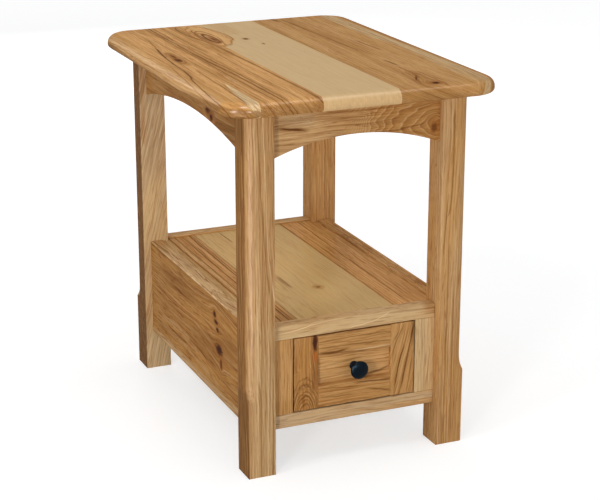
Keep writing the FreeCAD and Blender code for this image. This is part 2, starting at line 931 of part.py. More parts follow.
def build_box(front_bores, slide_bores):
    """The drawer's box."""
    build_drawer_sides(slide_bores)
    front_in = "(-front_back_y + box_thick)"
    back_in = "(box_back_y - box_thick)"
    build_box_end(
        "drawer_box_front", ("-front_back_y", front_in),
        (f"{front_in} - bottom_groove", f"{front_in} + overrun"), front_bores,
    )
    build_box_end(
        "drawer_box_back", (back_in, "box_back_y"),
        (f"{back_in} - overrun", f"{back_in} + bottom_groove"), [],
    )
    play = "(bottom_groove - front_panel_play)"
    bottom = box(
        "drawer_bottom_sheet",
        x=both(f"box_in + {play}"), y=(f"{front_in} - {play}", f"{back_in} + {play}"),
        z=("bottom_low", "bottom_high"),
    )
    keep(bottom, "drawer_bottom")


def build_drawer_front(bores):
    """Stiles, rails and recessed panel of the drawer's front."""
    through = across(FRONT, "front_back_y", "face_y")
    groove = across(FRONT, "front_panel_in_y - joint_clear", "front_panel_y + joint_clear")
    tongue = across(FRONT, "front_panel_in_y", "front_panel_y")
    edge = "(front_half - front_stile)"
    for side in (LEFT, RIGHT):
        name = f"drawer_stile_{SIDE_NAMES[side]}"
        owner = body(f"{name}_body")
        add_box(
            owner, f"{name}_board",
            x=across(side, edge, "front_half"), y=through, z=("front_bottom", "front_top"),
        )
        cut_box(
            owner, f"{name}_groove",
            x=across(side, f"{edge} - overrun", f"{edge} + front_groove"), y=groove,
            z=("front_bottom - overrun", "front_top + overrun"),
        )
        drilled(name, owner, *bores)
    low_edge = "(front_bottom + front_rail)"
    high_edge = "(front_top - front_rail)"
    for name, height, slot in (
        ("drawer_rail_bottom", ("front_bottom", low_edge),
         (f"{low_edge} - front_groove", f"{low_edge} + overrun")),
        ("drawer_rail_top", (high_edge, "front_top"),
         (f"{high_edge} - overrun", f"{high_edge} + front_groove")),
    ):
        owner = body(f"{name}_body")
        add_box(owner, f"{name}_board", x=both(edge), y=through, z=height)
        add_box(
            owner, f"{name}_tongue",
            x=both(f"{edge} + front_groove"), y=tongue, z=height,
        )
        cut_box(owner, f"{name}_groove", x=both("front_half"), y=groove, z=slot)
        keep(owner, name)
    play = "(front_groove - front_panel_play)"
    panel = box(
        "drawer_panel_board", x=both(f"{edge} + {play}"), y=tongue,
        z=(f"{low_edge} - {play}", f"{high_edge} + {play}"),
    )
    drilled("drawer_panel", panel, *bores)


def build_knob(bores):
    """A turned mushroom knob: collar, flared neck and domed head."""
    owner = body("knob_body")
    face = "-front_panel_y"
    head_middle = f"{face} - knob_reach + knob_head / 2"

    def turned_feature(kind, name, start, **links):
        feature = pointed(owner.newObject(kind, name), FORWARD)
        bind(feature, **links)
        place(feature, "0", start, "front_middle")

    turned_feature(
        "PartDesign::AdditiveCylinder", "knob_collar_disc", face,
        Radius="knob_collar / 2", Height="knob_collar_thick",
    )
    turned_feature(
        "PartDesign::AdditiveCone", "knob_neck_flare", f"{face} - knob_collar_thick",
        Radius1="knob_neck / 2", Radius2="knob_flare / 2",
        Height="knob_reach - knob_head / 2 - knob_collar_thick",
    )
    turned_feature(
        "PartDesign::AdditiveEllipsoid", "knob_dome", head_middle,
        Radius1="knob_head / 2", Radius2="knob_size / 2", Radius3="knob_size / 2",
    )
    drilled("knob", owner, bores)


def build_drawer(slide_bores):
    """The whole drawer with its screws and knob."""
    inside_y = "-front_back_y + box_thick"
    spots = []
    for side in (LEFT, RIGHT):
        for share in FRONT_SCREW_SHARES:
            at_x = f"{side} * (box_in - front_screw_inset)"
            at_z = f"box_bottom + box_height * {share}"
            spots.append(((at_x, inside_y, at_z), FORWARD))
    front_bores = screws("drawer_front_screws", spots, "box_thick + screw_grip")
    knob_bores = screws(
        "knob_screw", [(("0", inside_y, "front_middle"), FORWARD)],
        "box_thick + front_panel_y - front_back_y + screw_grip",
    )
    build_box([front_bores, knob_bores], slide_bores)
    build_drawer_front([front_bores, knob_bores])
    build_knob(knob_bores)


# The whole table

def build_table():
    """Every sub-part, from the floor up."""
    for side_y in (FRONT, REAR):
        for side_x in (LEFT, RIGHT):
            build_leg(side_x, side_y)
    for apron in aprons.values():
        build_apron(apron)
    for panel in panels.values():
        keep(panel.board(), panel.name)
    build_face_frame()
    build_top(build_top_fixings())
    build_shelf()
    case_bores, drawer_bores = build_slides()
    for side in (LEFT, RIGHT):
        build_slide_block(side, case_bores)
    build_drawer(drawer_bores)


def check():
    """Stop if any object failed or any sub-part has no sound shape."""
    for thing in document.Objects:
        if "Invalid" in thing.State or "Error" in thing.State:
            raise RuntimeError(f"{thing.Label} failed: {thing.State}")
    for thing in nodes:
        if thing.Shape.isNull() or not thing.Shape.isValid() or not thing.Shape.Solids:
            raise RuntimeError(f"{thing.Label} has no sound shape")


def export():
    """Write each sub-part to its own file."""
    os.makedirs("parts", exist_ok=True)
    for thing in nodes:
        thing.Shape.exportStep(f"parts/{thing.Label}.step")
        solids = len(thing.Shape.Solids)
        print(f"{thing.Label}: {solids} solids, {thing.Shape.Volume:.0f} mm3")
    print(len(nodes), "sub-parts")


build_table()
document.recompute()
check()
export()
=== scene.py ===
"""A hickory chairside table with one drawer, dressed and lit for its portrait.

Every piece stands in the table's own frame: X is its width, Y its depth with
the drawer at -Y, and Z its height. Meshes are in metres. Sizes and the places
of knots and streaks are written in millimetres and scaled by MM.
"""
import logging
import math
from dataclasses import dataclass
from enum import Enum

import bmesh
import bpy
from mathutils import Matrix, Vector

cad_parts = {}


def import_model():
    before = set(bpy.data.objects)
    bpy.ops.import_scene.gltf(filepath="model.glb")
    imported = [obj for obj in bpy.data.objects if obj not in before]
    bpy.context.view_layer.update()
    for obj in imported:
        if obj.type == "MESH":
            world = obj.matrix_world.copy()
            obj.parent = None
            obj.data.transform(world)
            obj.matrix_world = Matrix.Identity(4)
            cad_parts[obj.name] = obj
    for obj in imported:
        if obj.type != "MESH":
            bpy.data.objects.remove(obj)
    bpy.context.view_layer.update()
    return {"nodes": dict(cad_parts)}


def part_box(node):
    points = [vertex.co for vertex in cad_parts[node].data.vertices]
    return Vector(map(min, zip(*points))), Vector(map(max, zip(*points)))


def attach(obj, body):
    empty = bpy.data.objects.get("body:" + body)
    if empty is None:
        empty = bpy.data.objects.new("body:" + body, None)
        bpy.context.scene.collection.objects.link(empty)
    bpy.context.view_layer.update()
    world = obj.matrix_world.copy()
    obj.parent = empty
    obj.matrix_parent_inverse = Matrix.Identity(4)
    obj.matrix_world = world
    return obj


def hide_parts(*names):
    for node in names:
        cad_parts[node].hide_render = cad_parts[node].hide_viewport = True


LOG = logging.getLogger("hickory_table")
MM = 0.001

Point = tuple[float, float]
Place = tuple[float, float, float]
Colour = tuple[float, float, float]
Linear = tuple[float, float, float, float]
Socket = bpy.types.NodeSocket
Value = float | Socket
Element = bmesh.types.BMVert | bmesh.types.BMEdge | bmesh.types.BMFace


class Axis(Enum):
    """One of the table's axes."""

    X = 0
    Y = 1
    Z = 2

    def step(self, length: float) -> Vector:
        """A step along the axis, in metres."""
        step = Vector()
        step[self.value] = length
        return step


class Tone(Enum):
    """Colours found in lacquered hickory, as sRGB values out of 255."""

    SAP = (209, 178, 132)
    PALE = (228, 198, 152)
    ASH = (198, 170, 132)
    OLIVE = (206, 175, 120)
    AMBER = (221, 171, 109)
    HONEY = (201, 156, 99)
    HEART = (182, 132, 71)
    UMBER = (152, 106, 52)
    RUSSET = (150, 92, 38)
    RUST = (196, 106, 46)
    STREAK = (98, 54, 17)
    BARK = (60, 27, 9)
    # Only used for painted shade on the legs' left faces
    DUSK = (124, 84, 44)
    GROWTH_LINE = (188, 153, 118)
    FIBRE = (219, 192, 160)


def linear(tone: Tone | Colour) -> Linear:
    """Turn an sRGB colour into the linear values that a shader reads.

    Args:
        tone: A named tone, or three values out of 255.

    Returns:
        Linear red, green, blue and an alpha of one.
    """
    values = tone.value if isinstance(tone, Tone) else tone
    shares = [value / 255 for value in values]
    # The curve that sRGB is defined by
    bent = [s / 12.92 if s <= 0.04045 else ((s + 0.055) / 1.055) ** 2.4 for s in shares]
    return bent[0], bent[1], bent[2], 1.0


class Graph:
    """Wires shader nodes together from plain arithmetic."""

    # Where a mix node keeps its share, its two colours and its blended colour
    MIX_INPUTS = (0, 6, 7)
    MIX_OUTPUT = 2

    def __init__(self, tree: bpy.types.NodeTree) -> None:
        """Start on an empty tree.

        Args:
            tree: The nodes of a material or of the world.
        """
        self.tree = tree
        self.tree.nodes.clear()
        self.material: bpy.types.Material | None = None

    @classmethod
    def of_material(cls, name: str) -> "Graph":
        """Start a new material, and keep it beside its nodes.

        Args:
            name: The material's name.

        Returns:
            A graph that holds the material.
        """
        material = bpy.data.materials.new(name)
        material.use_nodes = True
        graph = cls(material.node_tree)
        graph.material = material
        return graph

    def node(self, kind: str, **settings: object) -> bpy.types.Node:
        """Add a node.

        Args:
            kind: The node's type.
            **settings: Properties to set on it.

        Returns:
            The new node.
        """
        made = self.tree.nodes.new(kind)
        for key, value in settings.items():
            setattr(made, key, value)
        return made

    def feed(self, socket: Socket, value: object) -> None:
        """Give an input a plain value or a link.

        Args:
            socket: The input.
            value: A number, a colour or another node's output.
        """
        if isinstance(value, bpy.types.NodeSocket):
            self.tree.links.new(value, socket)
        else:
            socket.default_value = value

    def math(self, operation: str, first: Value, second: Value = 0.0) -> Socket:
        """One step of arithmetic.

        Args:
            operation: The step, as Blender names it.
            first: The first value.
            second: The second value, where the step takes two.

        Returns:
            The result.
        """
        made = self.node("ShaderNodeMath", operation=operation)
        self.feed(made.inputs[0], first)
        self.feed(made.inputs[1], second)
        return made.outputs[0]

    def add(self, *values: Value) -> Socket:
        """Add values up.

        Args:
            *values: The values.

        Returns:
            Their sum.
        """
        total = values[0]
        for value in values[1:]:
            total = self.math("ADD", total, value)
        return total

    def times(self, *values: Value) -> Socket:
        """Multiply values.

        Args:
            *values: The values.

        Returns:
            Their product.
        """
        product = values[0]
        for value in values[1:]:
            product = self.math("MULTIPLY", product, value)
        return product

    def less(self, first: Value, second: Value) -> Socket:
        """First value less the second."""
        return self.math("SUBTRACT", first, second)

    def length(self, first: Value, second: Value) -> Socket:
        """Length of a flat vector with these two parts."""
        squares = self.add(self.times(first, first), self.times(second, second))
        return self.math("SQRT", squares)

    def ease(
        self, value: Value, start: Value, end: Value, low: float = 0.0, high: float = 1.0
    ) -> Socket:
        """Smooth step of a value.

        Args:
            value: What is stepped.
            start: Where the step starts.
            end: Where it ends.
            low: The result at its start.
            high: The result at its end.

        Returns:
            The stepped value.
        """
        made = self.node("ShaderNodeMapRange", interpolation_type="SMOOTHSTEP")
        for name, given in (
            ("Value", value), ("From Min", start), ("From Max", end),
            ("To Min", low), ("To Max", high),
        ):
            self.feed(made.inputs[name], given)
        return made.outputs["Result"]

    def vector(self, x: Value, y: Value, z: Value) -> Socket:
        """Join three values.

        Args:
            x: The first part.
            y: The second part.
            z: The third part.

        Returns:
            One vector.
        """
        made = self.node("ShaderNodeCombineXYZ")
        for socket, value in zip(made.inputs, (x, y, z)):
            self.feed(socket, value)
        return made.outputs[0]

    def noise(self, vector: Socket, detail: float = 2.0, roughness: float = 0.5) -> Socket:
        """Fractal noise at a point.

        Args:
            vector: The point.
            detail: How many finer layers it has.
            roughness: How strong each finer layer is.

        Returns:
            A value from 0 to 1, mostly near a half.
        """
        made = self.node("ShaderNodeTexNoise", noise_dimensions="3D")
        self.feed(made.inputs["Vector"], vector)
        made.inputs["Scale"].default_value = 1.0
        made.inputs["Detail"].default_value = detail
        made.inputs["Roughness"].default_value = roughness
        return made.outputs["Fac"]

    def path(self, along: Value, points: tuple[Point, ...]) -> Socket:
        """A smooth line through points.

        Args:
            along: Distance along the grain, in millimetres.
            points: Distances along and across, in millimetres.

        Returns:
            The distance across at that distance along.
        """
        ordered = sorted(points)
        first, last = ordered[0][0], ordered[-1][0]
        low = min(across for _, across in ordered)
        spread = max(across for _, across in ordered) - low
        # A level line needs no curve
        if spread == 0:
            return self.add(low, 0.0)
        share = self.node("ShaderNodeMapRange")
        for name, given in (("Value", along), ("From Min", first), ("From Max", last)):
            self.feed(share.inputs[name], given)
        made = self.node("ShaderNodeFloatCurve")
        curve = made.mapping.curves[0]
        while len(curve.points) < len(ordered):
            curve.points.new(0.5, 0.5)
        for spot, (place, across) in zip(curve.points, ordered):
            spot.location = ((place - first) / (last - first), (across - low) / spread)
        made.mapping.update()
        self.feed(made.inputs["Value"], share.outputs["Result"])
        return self.add(self.times(made.outputs["Value"], spread), low)

    def mix(self, share: Value, first: object, second: object, blend: str = "MIX") -> Socket:
        """Blend two colours.

        Args:
            share: How much of the second shows.
            first: The colour underneath.
            second: The colour on top.
            blend: How they blend.

        Returns:
            The blended colour.
        """
        made = self.node("ShaderNodeMix", data_type="RGBA", blend_type=blend)
        for number, given in zip(self.MIX_INPUTS, (share, first, second)):
            self.feed(made.inputs[number], given)
        return made.outputs[self.MIX_OUTPUT]

    def surface(self, **inputs: object) -> bpy.types.Node:
        """Add the surface shader and the output.

        Args:
            **inputs: Values for its sockets, with spaces as underscores.

        Returns:
            The surface shader.
        """
        shader = self.node("ShaderNodeBsdfPrincipled")
        for key, value in inputs.items():
            self.feed(shader.inputs[key.replace("_", " ")], value)
        output = self.node("ShaderNodeOutputMaterial")
        self.tree.links.new(shader.outputs[0], output.inputs["Surface"])
        return shader

    def bump(self, height: Socket, strength: float, distance: float) -> Socket:
        """Bend the surface's normal along a height.

        Args:
            height: The height in shares of the distance.
            strength: How much of it shows.
            distance: The full height in metres.

        Returns:
            The bent normal.
        """
        made = self.node("ShaderNodeBump")
        made.inputs["Strength"].default_value = strength
        made.inputs["Distance"].default_value = distance
        self.feed(made.inputs["Height"], height)
        return made.outputs["Normal"]

    def millimetres(self) -> tuple[Socket, Socket, Socket]:
        """Find the point's place in the table's frame.

        Returns:
            Its three coordinates in millimetres.
        """
        place = self.node("ShaderNodeTexCoord").outputs["Object"]
        parts = self.node("ShaderNodeSeparateXYZ")
        self.feed(parts.inputs[0], place)
        return tuple(self.times(part, 1 / MM) for part in parts.outputs)


# Figure of the wood

@dataclass(frozen=True)
class Knot:
    """A knot, with the grain bent round it.

    Half is half its size along and across the grain, in millimetres. The
    grain bends within sway times that size.
    """

    at: Point
    half: Point
    sway: float = 1.6
    strength: float = 0.9
    core: Tone = Tone.BARK
    rim: Tone = Tone.STREAK


@dataclass(frozen=True)
class Streak:
    """A narrow line along the grain, through listed points.

    Its width is to each side of the points, in millimetres.
    """

    points: tuple[Point, ...]
    width: float = 1.6
    strength: float = 0.6
    tone: Tone = Tone.STREAK


@dataclass(frozen=True)
class Band:
    """A stretch of another colour between two edges that follow the grain.

    Soft is half the width over which an edge fades, in millimetres. The
    edges of a ruled band don't wander.
    """

    low: tuple[Point, ...]
    high: tuple[Point, ...]
    tone: Tone
    strength: float = 0.8
    soft: float = 2.0
    ruled: bool = False


@dataclass(frozen=True)
class Loop:
    """One oval line round a spot. Sizes in millimetres."""

    at: Point
    half: Point
    width: float = 1.6
    strength: float = 0.6
    tone: Tone = Tone.STREAK


@dataclass(frozen=True)
class Eye:
    """Nested ovals where the saw met a swell in the rings.

    One oval lies a ring inside the next, in millimetres across the grain, and
    depth is how strongly they show.
    """

    at: Point
    half: Point
    ring: float = 5.0
    depth: float = 1.0


@dataclass(frozen=True)
class Figure:
    """The look of one board.

    Places along and across the grain are in millimetres of the table's frame,
    on the face that the out axis points from. Mottle is how much of the other
    tone lies over the base. The growth lines run round the pith, given by its
    place across the grain and through the board, one ring apart, and contrast
    is how dark they are. Slant turns them as they run along the board, and
    lean moves the whole figure across for each millimetre below the face. The
    wood behind the face shows the inner tone. Flecks is how dark the short
    marks are, and depth how fast the grain changes through the board.
    """

    grain: Axis
    out: Axis
    seed: float
    base: Tone = Tone.HONEY
    other: Tone = Tone.HEART
    mottle: float = 0.5
    ring: float = 5.5
    contrast: float = 0.5
    pith: Point = (90.0, 140.0)
    slant: float = 0.0
    lean: float = 0.0
    face: float = 0.0
    inner: Tone | None = None
    flecks: float = 0.5
    depth: float = 0.3
    bands: tuple[Band, ...] = ()
    streaks: tuple[Streak, ...] = ()
    knots: tuple[Knot, ...] = ()
    eyes: tuple[Eye, ...] = ()
    loops: tuple[Loop, ...] = ()


@dataclass(frozen=True)
class Layer:
    """A noise stretched along the grain, with its repeats in a millimetre.

    The shift moves it away from the board's other noises, and the detail is
    how many finer layers it has.
    """

    along: float
    across: float
    shift: float
    detail: float = 2.0


class Hickory:
    """Lacquered hickory, made board by board from its figure.

    Reaches are in millimetres, or in rings for the rings. A step is where it
    starts, where it ends, and the results at both ends. A share is what shows
    on any board, and what the figure's contrast adds to it.
    """

    SEED_STEP = 7.31
    DRIFT_ROUGHNESS = 0.55

    # The lacquer, and the grain felt through it
    ROUGHNESS = 0.5
    LACQUER = 0.055
    LACQUER_INDEX = 2.4
    LACQUER_ROUGHNESS = 0.2
    GRAIN_DEPTH = 0.05 * MM
    GRAIN_STRENGTH = 0.5
    FIBRE_HEIGHT = 0.6
    PORES_HEIGHT = 0.4

    # How the grain waves, and how gently it turns round a knot
    WAVE = Layer(0.006, 0.012, 3.0)
    WAVE_REACH = 16.0
    KNOT_SPREAD = 0.35

    # Growth lines, whose rise and fall are in shares of a ring
    RING_STRENGTH = Layer(0.003, 0.06, 15.0)
    RING_STRENGTH_STEP = (0.36, 0.66, 0.2, 1.0)
    RING_WANDER = Layer(0.004, 0.05, 9.0)
    RING_WANDER_REACH = 2.2
    RING_RISE = (0.4, 0.92)
    RING_FALL = (0.92, 1.0, 1.0, 0.0)
    RING_BREAKS = Layer(0.03, 0.9, 25.0)
    RING_BREAKS_STEP = (0.3, 0.6, 0.45, 1.0)
    LINE_SHARE = (0.0, 1.0)
    GLINT_RISE = (0.0, 0.08)
    GLINT_FALL = (0.08, 0.3, 1.0, 0.0)
    GLINT_SHARE = (0.0, 0.5)

    # Nested ovals, whose edge is in shares of their size
    EYE_WOBBLE = Layer(0.02, 0.04, 21.0)
    EYE_WOBBLE_SHARE = 0.3
    EYE_EDGE = (0.8, 1.2, 1.0, 0.0)

    # Thin lines of pores
    HAIR = Layer(0.0045, 0.16, 81.0)
    HAIR_STEP = (0.004, 0.026, 1.0, 0.0)
    FINE_HAIR = Layer(0.008, 0.33, 91.0, 1.0)
    FINE_HAIR_STEP = (0.0, 0.035, 0.32, 0.0)
    HAIR_FADE = Layer(0.006, 0.03, 95.0)
    HAIR_FADE_STEP = (0.35, 0.6, 0.35, 1.0)
    HAIR_SHARE = (0.08, 0.95)

    # The ground: two tones, the tone behind the face, and bands
    MOTTLE = Layer(0.0035, 0.045, 51.0, 3.0)
    SPREAD_STEP = (0.38, 0.64)
    INNER_STEP = (0.6, 1.4, 0.0, 0.88)
    BAND_FADE = 4.0
    BAND_SHADE = 0.8

    # Streaks and loops, and how their edges wander
    RIPPLE = Layer(0.02, 0.03, 27.0)
    RIPPLE_REACH = 2.8
    JAG = Layer(0.08, 0.05, 29.0)
    JAG_REACH = 1.8
    LINE_CORE = 0.15
    STREAK_WIDTH = Layer(0.02, 0.02, 31.0)
    STREAK_FADE = 12.0
    STREAK_DEPTH = 1.3
    STREAK_HALO_WIDTHS = 3.0
    STREAK_HALO = 0.4
    LOOP_WOBBLE = Layer(0.035, 0.08, 35.0)
    LOOP_WOBBLE_SHARE = 0.42
    LOOP_WIDTH = Layer(0.03, 0.06, 37.0)

    # Knots, in shares of their size
    KNOT_RAGGED = 0.9
    KNOT_RIM = (0.7, 1.25)
    KNOT_CORE = (0.35, 0.85)
    KNOT_HALO = (0.9, 2.4)
    KNOT_HALO_SHARE = 0.45
    ROUGH_ALONG = 0.12
    ROUGH_ACROSS = 0.35
    ROUGH_DETAIL = (3.0, 0.6)

    # Fibre, flecks and open pores
    FIBRE = Layer(0.011, 0.34, 41.0, 4.0)
    FIBRE_SHARE = (0.1, 0.45)
    FLECK = Layer(0.007, 0.2, 71.0, 3.0)
    FLECK_STEP = (0.575, 0.7)
    DASH = Layer(0.026, 0.42, 77.0)
    DASH_STEP = (0.54, 0.68)
    PORES = Layer(0.07, 1.6, 61.0, 1.0)
    PORES_STEP = (0.58, 0.7)
    PORES_SHARE = (0.06, 0.3)

    def __init__(self, name: str, figure: Figure) -> None:
        """Prepare the board's coordinates, and the noises that its parts share.

        Args:
            name: The material's name.
            figure: The board's figure.
        """
        self.figure = figure
        self.graph = graph = Graph.of_material(name)
        places = graph.millimetres()
        rest = next(axis for axis in Axis if axis not in (figure.grain, figure.out))
        self.along = places[figure.grain.value]
        self.through = places[figure.out.value]
        self.across = places[rest.value]
        if figure.lean:
            sunk = graph.times(graph.less(figure.face, self.through), figure.lean)
            self.across = graph.less(self.across, sunk)
        self.bent = self.across
        self.bent = self.bend_grain()
        self.fibre = self.drift(self.FIBRE)
        self.fibre_share = graph.ease(self.fibre, *self.SPREAD_STEP)
        spot = graph.vector(
            graph.times(self.along, self.ROUGH_ALONG),
            graph.times(self.across, self.ROUGH_ACROSS),
            graph.add(graph.times(self.through, self.ROUGH_ACROSS), figure.seed),
        )
        self.rough = graph.noise(spot, *self.ROUGH_DETAIL)
        ripple = graph.times(self.swing(self.RIPPLE), self.RIPPLE_REACH)
        jag = graph.times(self.swing(self.JAG), self.JAG_REACH)
        self.wavy = graph.add(self.across, ripple, jag)

    def drift(self, layer: Layer) -> Socket:
        """Noise stretched along the grain, from 0 to 1."""
        graph = self.graph
        offset = self.figure.seed * self.SEED_STEP + layer.shift
        spot = graph.vector(
            graph.add(graph.times(self.along, layer.along), offset),
            graph.times(self.bent, layer.across),
            graph.times(self.through, layer.across * self.figure.depth),
        )
        return graph.noise(spot, layer.detail, self.DRIFT_ROUGHNESS)

    def swing(self, layer: Layer) -> Socket:
        """Noise about zero, from a half below it to a half above."""
        return self.graph.less(self.drift(layer), 0.5)

    def oval(self, at: Point, half: Point) -> tuple[Socket, Socket]:
        """Distance from a spot, as a share of an oval's half sizes.

        Args:
            at: The oval's middle.
            half: Its half sizes along and across the grain.

        Returns:
            That distance, and the distance across the grain in millimetres.
        """
        graph = self.graph
        aside = graph.less(self.across, at[1])
        run = graph.times(graph.less(self.along, at[0]), 1 / half[0])
        return graph.length(run, graph.times(aside, 1 / half[1])), aside

    def bend_grain(self) -> Socket:
        """Bend the grain's lines in slow waves and round the knots.

        Returns:
            The distance across the grain, bent with it.
        """
        graph = self.graph
        bent = graph.add(self.across, graph.times(self.swing(self.WAVE), self.WAVE_REACH))
        if self.figure.slant:
            bent = graph.add(bent, graph.times(self.along, self.figure.slant))
        for knot in self.figure.knots:
            reach = tuple(size * knot.sway for size in knot.half)
            distance, aside = self.oval(knot.at, reach)
            squared = graph.times(distance, distance)
            push = graph.math("DIVIDE", aside, graph.add(squared, self.KNOT_SPREAD))
            bent = graph.less(bent, push)
        return bent

    def rings(self) -> tuple[Socket, Socket]:
        """Draw growth lines, and the pale glint after each.

        Returns:
            How much of a line and how much of a glint a point shows.
        """
        graph = self.graph
        figure = self.figure
        side = graph.less(self.bent, figure.pith[0])
        deep = graph.less(self.through, figure.pith[1])
        count = graph.times(graph.length(side, deep), 1 / figure.ring)
        strength = graph.ease(self.drift(self.RING_STRENGTH), *self.RING_STRENGTH_STEP)
        for eye in figure.eyes:
            distance, _ = self.oval(eye.at, eye.half)
            wobble = graph.times(self.swing(self.EYE_WOBBLE), self.EYE_WOBBLE_SHARE)
            nested = graph.times(graph.add(distance, wobble), eye.half[1] / eye.ring)
            share = graph.ease(distance, *self.EYE_EDGE)
            count = graph.add(count, graph.times(share, graph.less(nested, count)))
            strength = graph.math("MAXIMUM", strength, graph.times(share, eye.depth))
        wander = graph.times(self.drift(self.RING_WANDER), self.RING_WANDER_REACH)
        count = graph.add(count, wander)
        phase = graph.math("FRACT", count)
        glint = graph.times(
            graph.ease(phase, *self.GLINT_RISE), graph.ease(phase, *self.GLINT_FALL), strength
        )
        rise = graph.ease(phase, *self.RING_RISE)
        fall = graph.ease(phase, *self.RING_FALL)
        broken = graph.ease(self.drift(self.RING_BREAKS), *self.RING_BREAKS_STEP)
        return graph.times(rise, fall, strength, broken), glint

    def hairlines(self) -> Socket:
        """Draw thin dark lines of pores that wander along the grain.

        Returns:
            A value from 0 between the lines to 1 on one.
        """
        graph = self.graph
        wander = graph.math("ABSOLUTE", self.swing(self.HAIR))
        near = graph.ease(wander, *self.HAIR_STEP)
        finer = graph.math("ABSOLUTE", self.swing(self.FINE_HAIR))
        fine = graph.ease(finer, *self.FINE_HAIR_STEP)
        fade = graph.ease(self.drift(self.HAIR_FADE), *self.HAIR_FADE_STEP)
        return graph.times(graph.math("MAXIMUM", near, fine), fade)

    def along_mask(self, points: tuple[Point, ...], fade: float) -> Socket:
        """Show something from the first to the last of its points.

        Args:
            points: Distances along and across, in millimetres.
            fade: Half the length over which it fades at each end.

        Returns:
            A value of 1 between the ends and 0 beyond them.
        """
        graph = self.graph
        places = sorted(point[0] for point in points)
        start = graph.ease(self.along, places[0] - fade, places[0] + fade)
        end = graph.ease(self.along, places[-1] - fade, places[-1] + fade, 1.0, 0.0)
        return graph.times(start, end)

    def lay_band(self, colour: Socket, band: Band) -> Socket:
        """Lay a band of another tone over a colour.

        Args:
            colour: The colour underneath.
            band: The band.

        Returns:
            The colour with the band on it.
        """
        graph = self.graph
        place = self.across if band.ruled else self.wavy
        low = graph.path(self.along, band.low)
        high = graph.path(self.along, band.high)
        inside = graph.ease(graph.less(place, low), -band.soft, band.soft)
        outside = graph.ease(graph.less(place, high), -band.soft, band.soft, 1.0, 0.0)
        fade = self.along_mask(band.low, self.BAND_FADE + band.soft)
        shade = self.darker(band.tone, self.BAND_SHADE)
        tone = graph.mix(self.fibre_share, linear(band.tone), shade)
        return graph.mix(graph.times(inside, outside, fade, band.strength), colour, tone)

    def line(self, aside: Socket, width: float, layer: Layer) -> Socket:
        """Draw a line whose width wanders.

        Args:
            aside: Distance from its middle in millimetres.
            width: How wide it is on average, to each side.
            layer: The noise in its width.

        Returns:
            A value from 0 beside the line to 1 on it.
        """
        thick = self.graph.times(self.drift(layer), 2.0 * width)
        core = self.graph.times(thick, self.LINE_CORE)
        return self.graph.ease(aside, core, thick, 1.0, 0.0)

    def lay_streak(self, colour: Socket, streak: Streak) -> Socket:
        """Draw a streak over a colour.

        Args:
            colour: The colour underneath.
            streak: The streak.

        Returns:
            The colour with the streak on it.
        """
        graph = self.graph
        line = graph.path(self.along, streak.points)
        aside = graph.math("ABSOLUTE", graph.less(self.wavy, line))
        share = self.line(aside, streak.width, self.STREAK_WIDTH)
        fade = self.along_mask(streak.points, self.STREAK_FADE)
        depth = min(1.0, streak.strength * self.STREAK_DEPTH)
        if streak.tone is Tone.STREAK:
            reach = self.STREAK_HALO_WIDTHS * streak.width
            halo = graph.ease(aside, 0.0, reach, self.STREAK_HALO * depth, 0.0)
            colour = graph.mix(graph.times(halo, fade), colour, linear(Tone.UMBER))
        return graph.mix(graph.times(share, fade, depth), colour, linear(streak.tone))

    def lay_loop(self, colour: Socket, loop: Loop) -> Socket:
        """Draw an oval line over a colour.

        Args:
            colour: The colour underneath.
            loop: The loop.

        Returns:
            The colour with the loop on it.
        """
        graph = self.graph
        distance, _ = self.oval(loop.at, loop.half)
        wobble = graph.times(self.swing(self.LOOP_WOBBLE), self.LOOP_WOBBLE_SHARE)
        off = graph.add(graph.less(distance, 1.0), wobble)
        aside = graph.times(graph.math("ABSOLUTE", off), loop.half[1])
        share = self.line(aside, loop.width, self.LOOP_WIDTH)
        return graph.mix(graph.times(share, loop.strength), colour, linear(loop.tone))

    def lay_knot(self, colour: Socket, knot: Knot) -> Socket:
        """Set a knot into a colour.

        Args:
            colour: The colour underneath.
            knot: The knot.

        Returns:
            The colour with the knot on it.
        """
        graph = self.graph
        distance, _ = self.oval(knot.at, knot.half)
        off = graph.times(graph.less(self.rough, 0.5), self.KNOT_RAGGED)
        ragged = graph.add(distance, off)
        rim = graph.ease(ragged, *self.KNOT_RIM, knot.strength, 0.0)
        core = graph.ease(ragged, *self.KNOT_CORE, knot.strength, 0.0)
        halo = graph.ease(distance, *self.KNOT_HALO, self.KNOT_HALO_SHARE * knot.strength, 0.0)
        colour = graph.mix(halo, colour, linear(Tone.RUSSET))
        colour = graph.mix(rim, colour, linear(knot.rim))
        return graph.mix(core, colour, linear(knot.core))

    @staticmethod
    def darker(tone: Tone, share: float) -> Linear:
        """A tone at a share of its light."""
        red, green, blue, alpha = linear(tone)
        return red * share, green * share, blue * share, alpha

    def shown(self, value: Value, share: Point) -> Socket:
        """A value at its share on this board."""
        return self.graph.times(value, share[0] + share[1] * self.figure.contrast)

    def ground(self) -> Socket:
        """Lay the board's two tones, its inner tone and its bands.

        Returns:
            The colour that the grain is drawn on.
        """
        graph = self.graph
        figure = self.figure
        mottle = graph.ease(self.drift(self.MOTTLE), *self.SPREAD_STEP)
        share = graph.times(mottle, figure.mottle)
        colour = graph.mix(share, linear(figure.base), linear(figure.other))
        if figure.inner:
            sunk = graph.math("ABSOLUTE", graph.less(self.through, figure.face))
            behind = graph.ease(sunk, *self.INNER_STEP)
            colour = graph.mix(behind, colour, linear(figure.inner))
        for band in figure.bands:
            colour = self.lay_band(colour, band)
        return colour

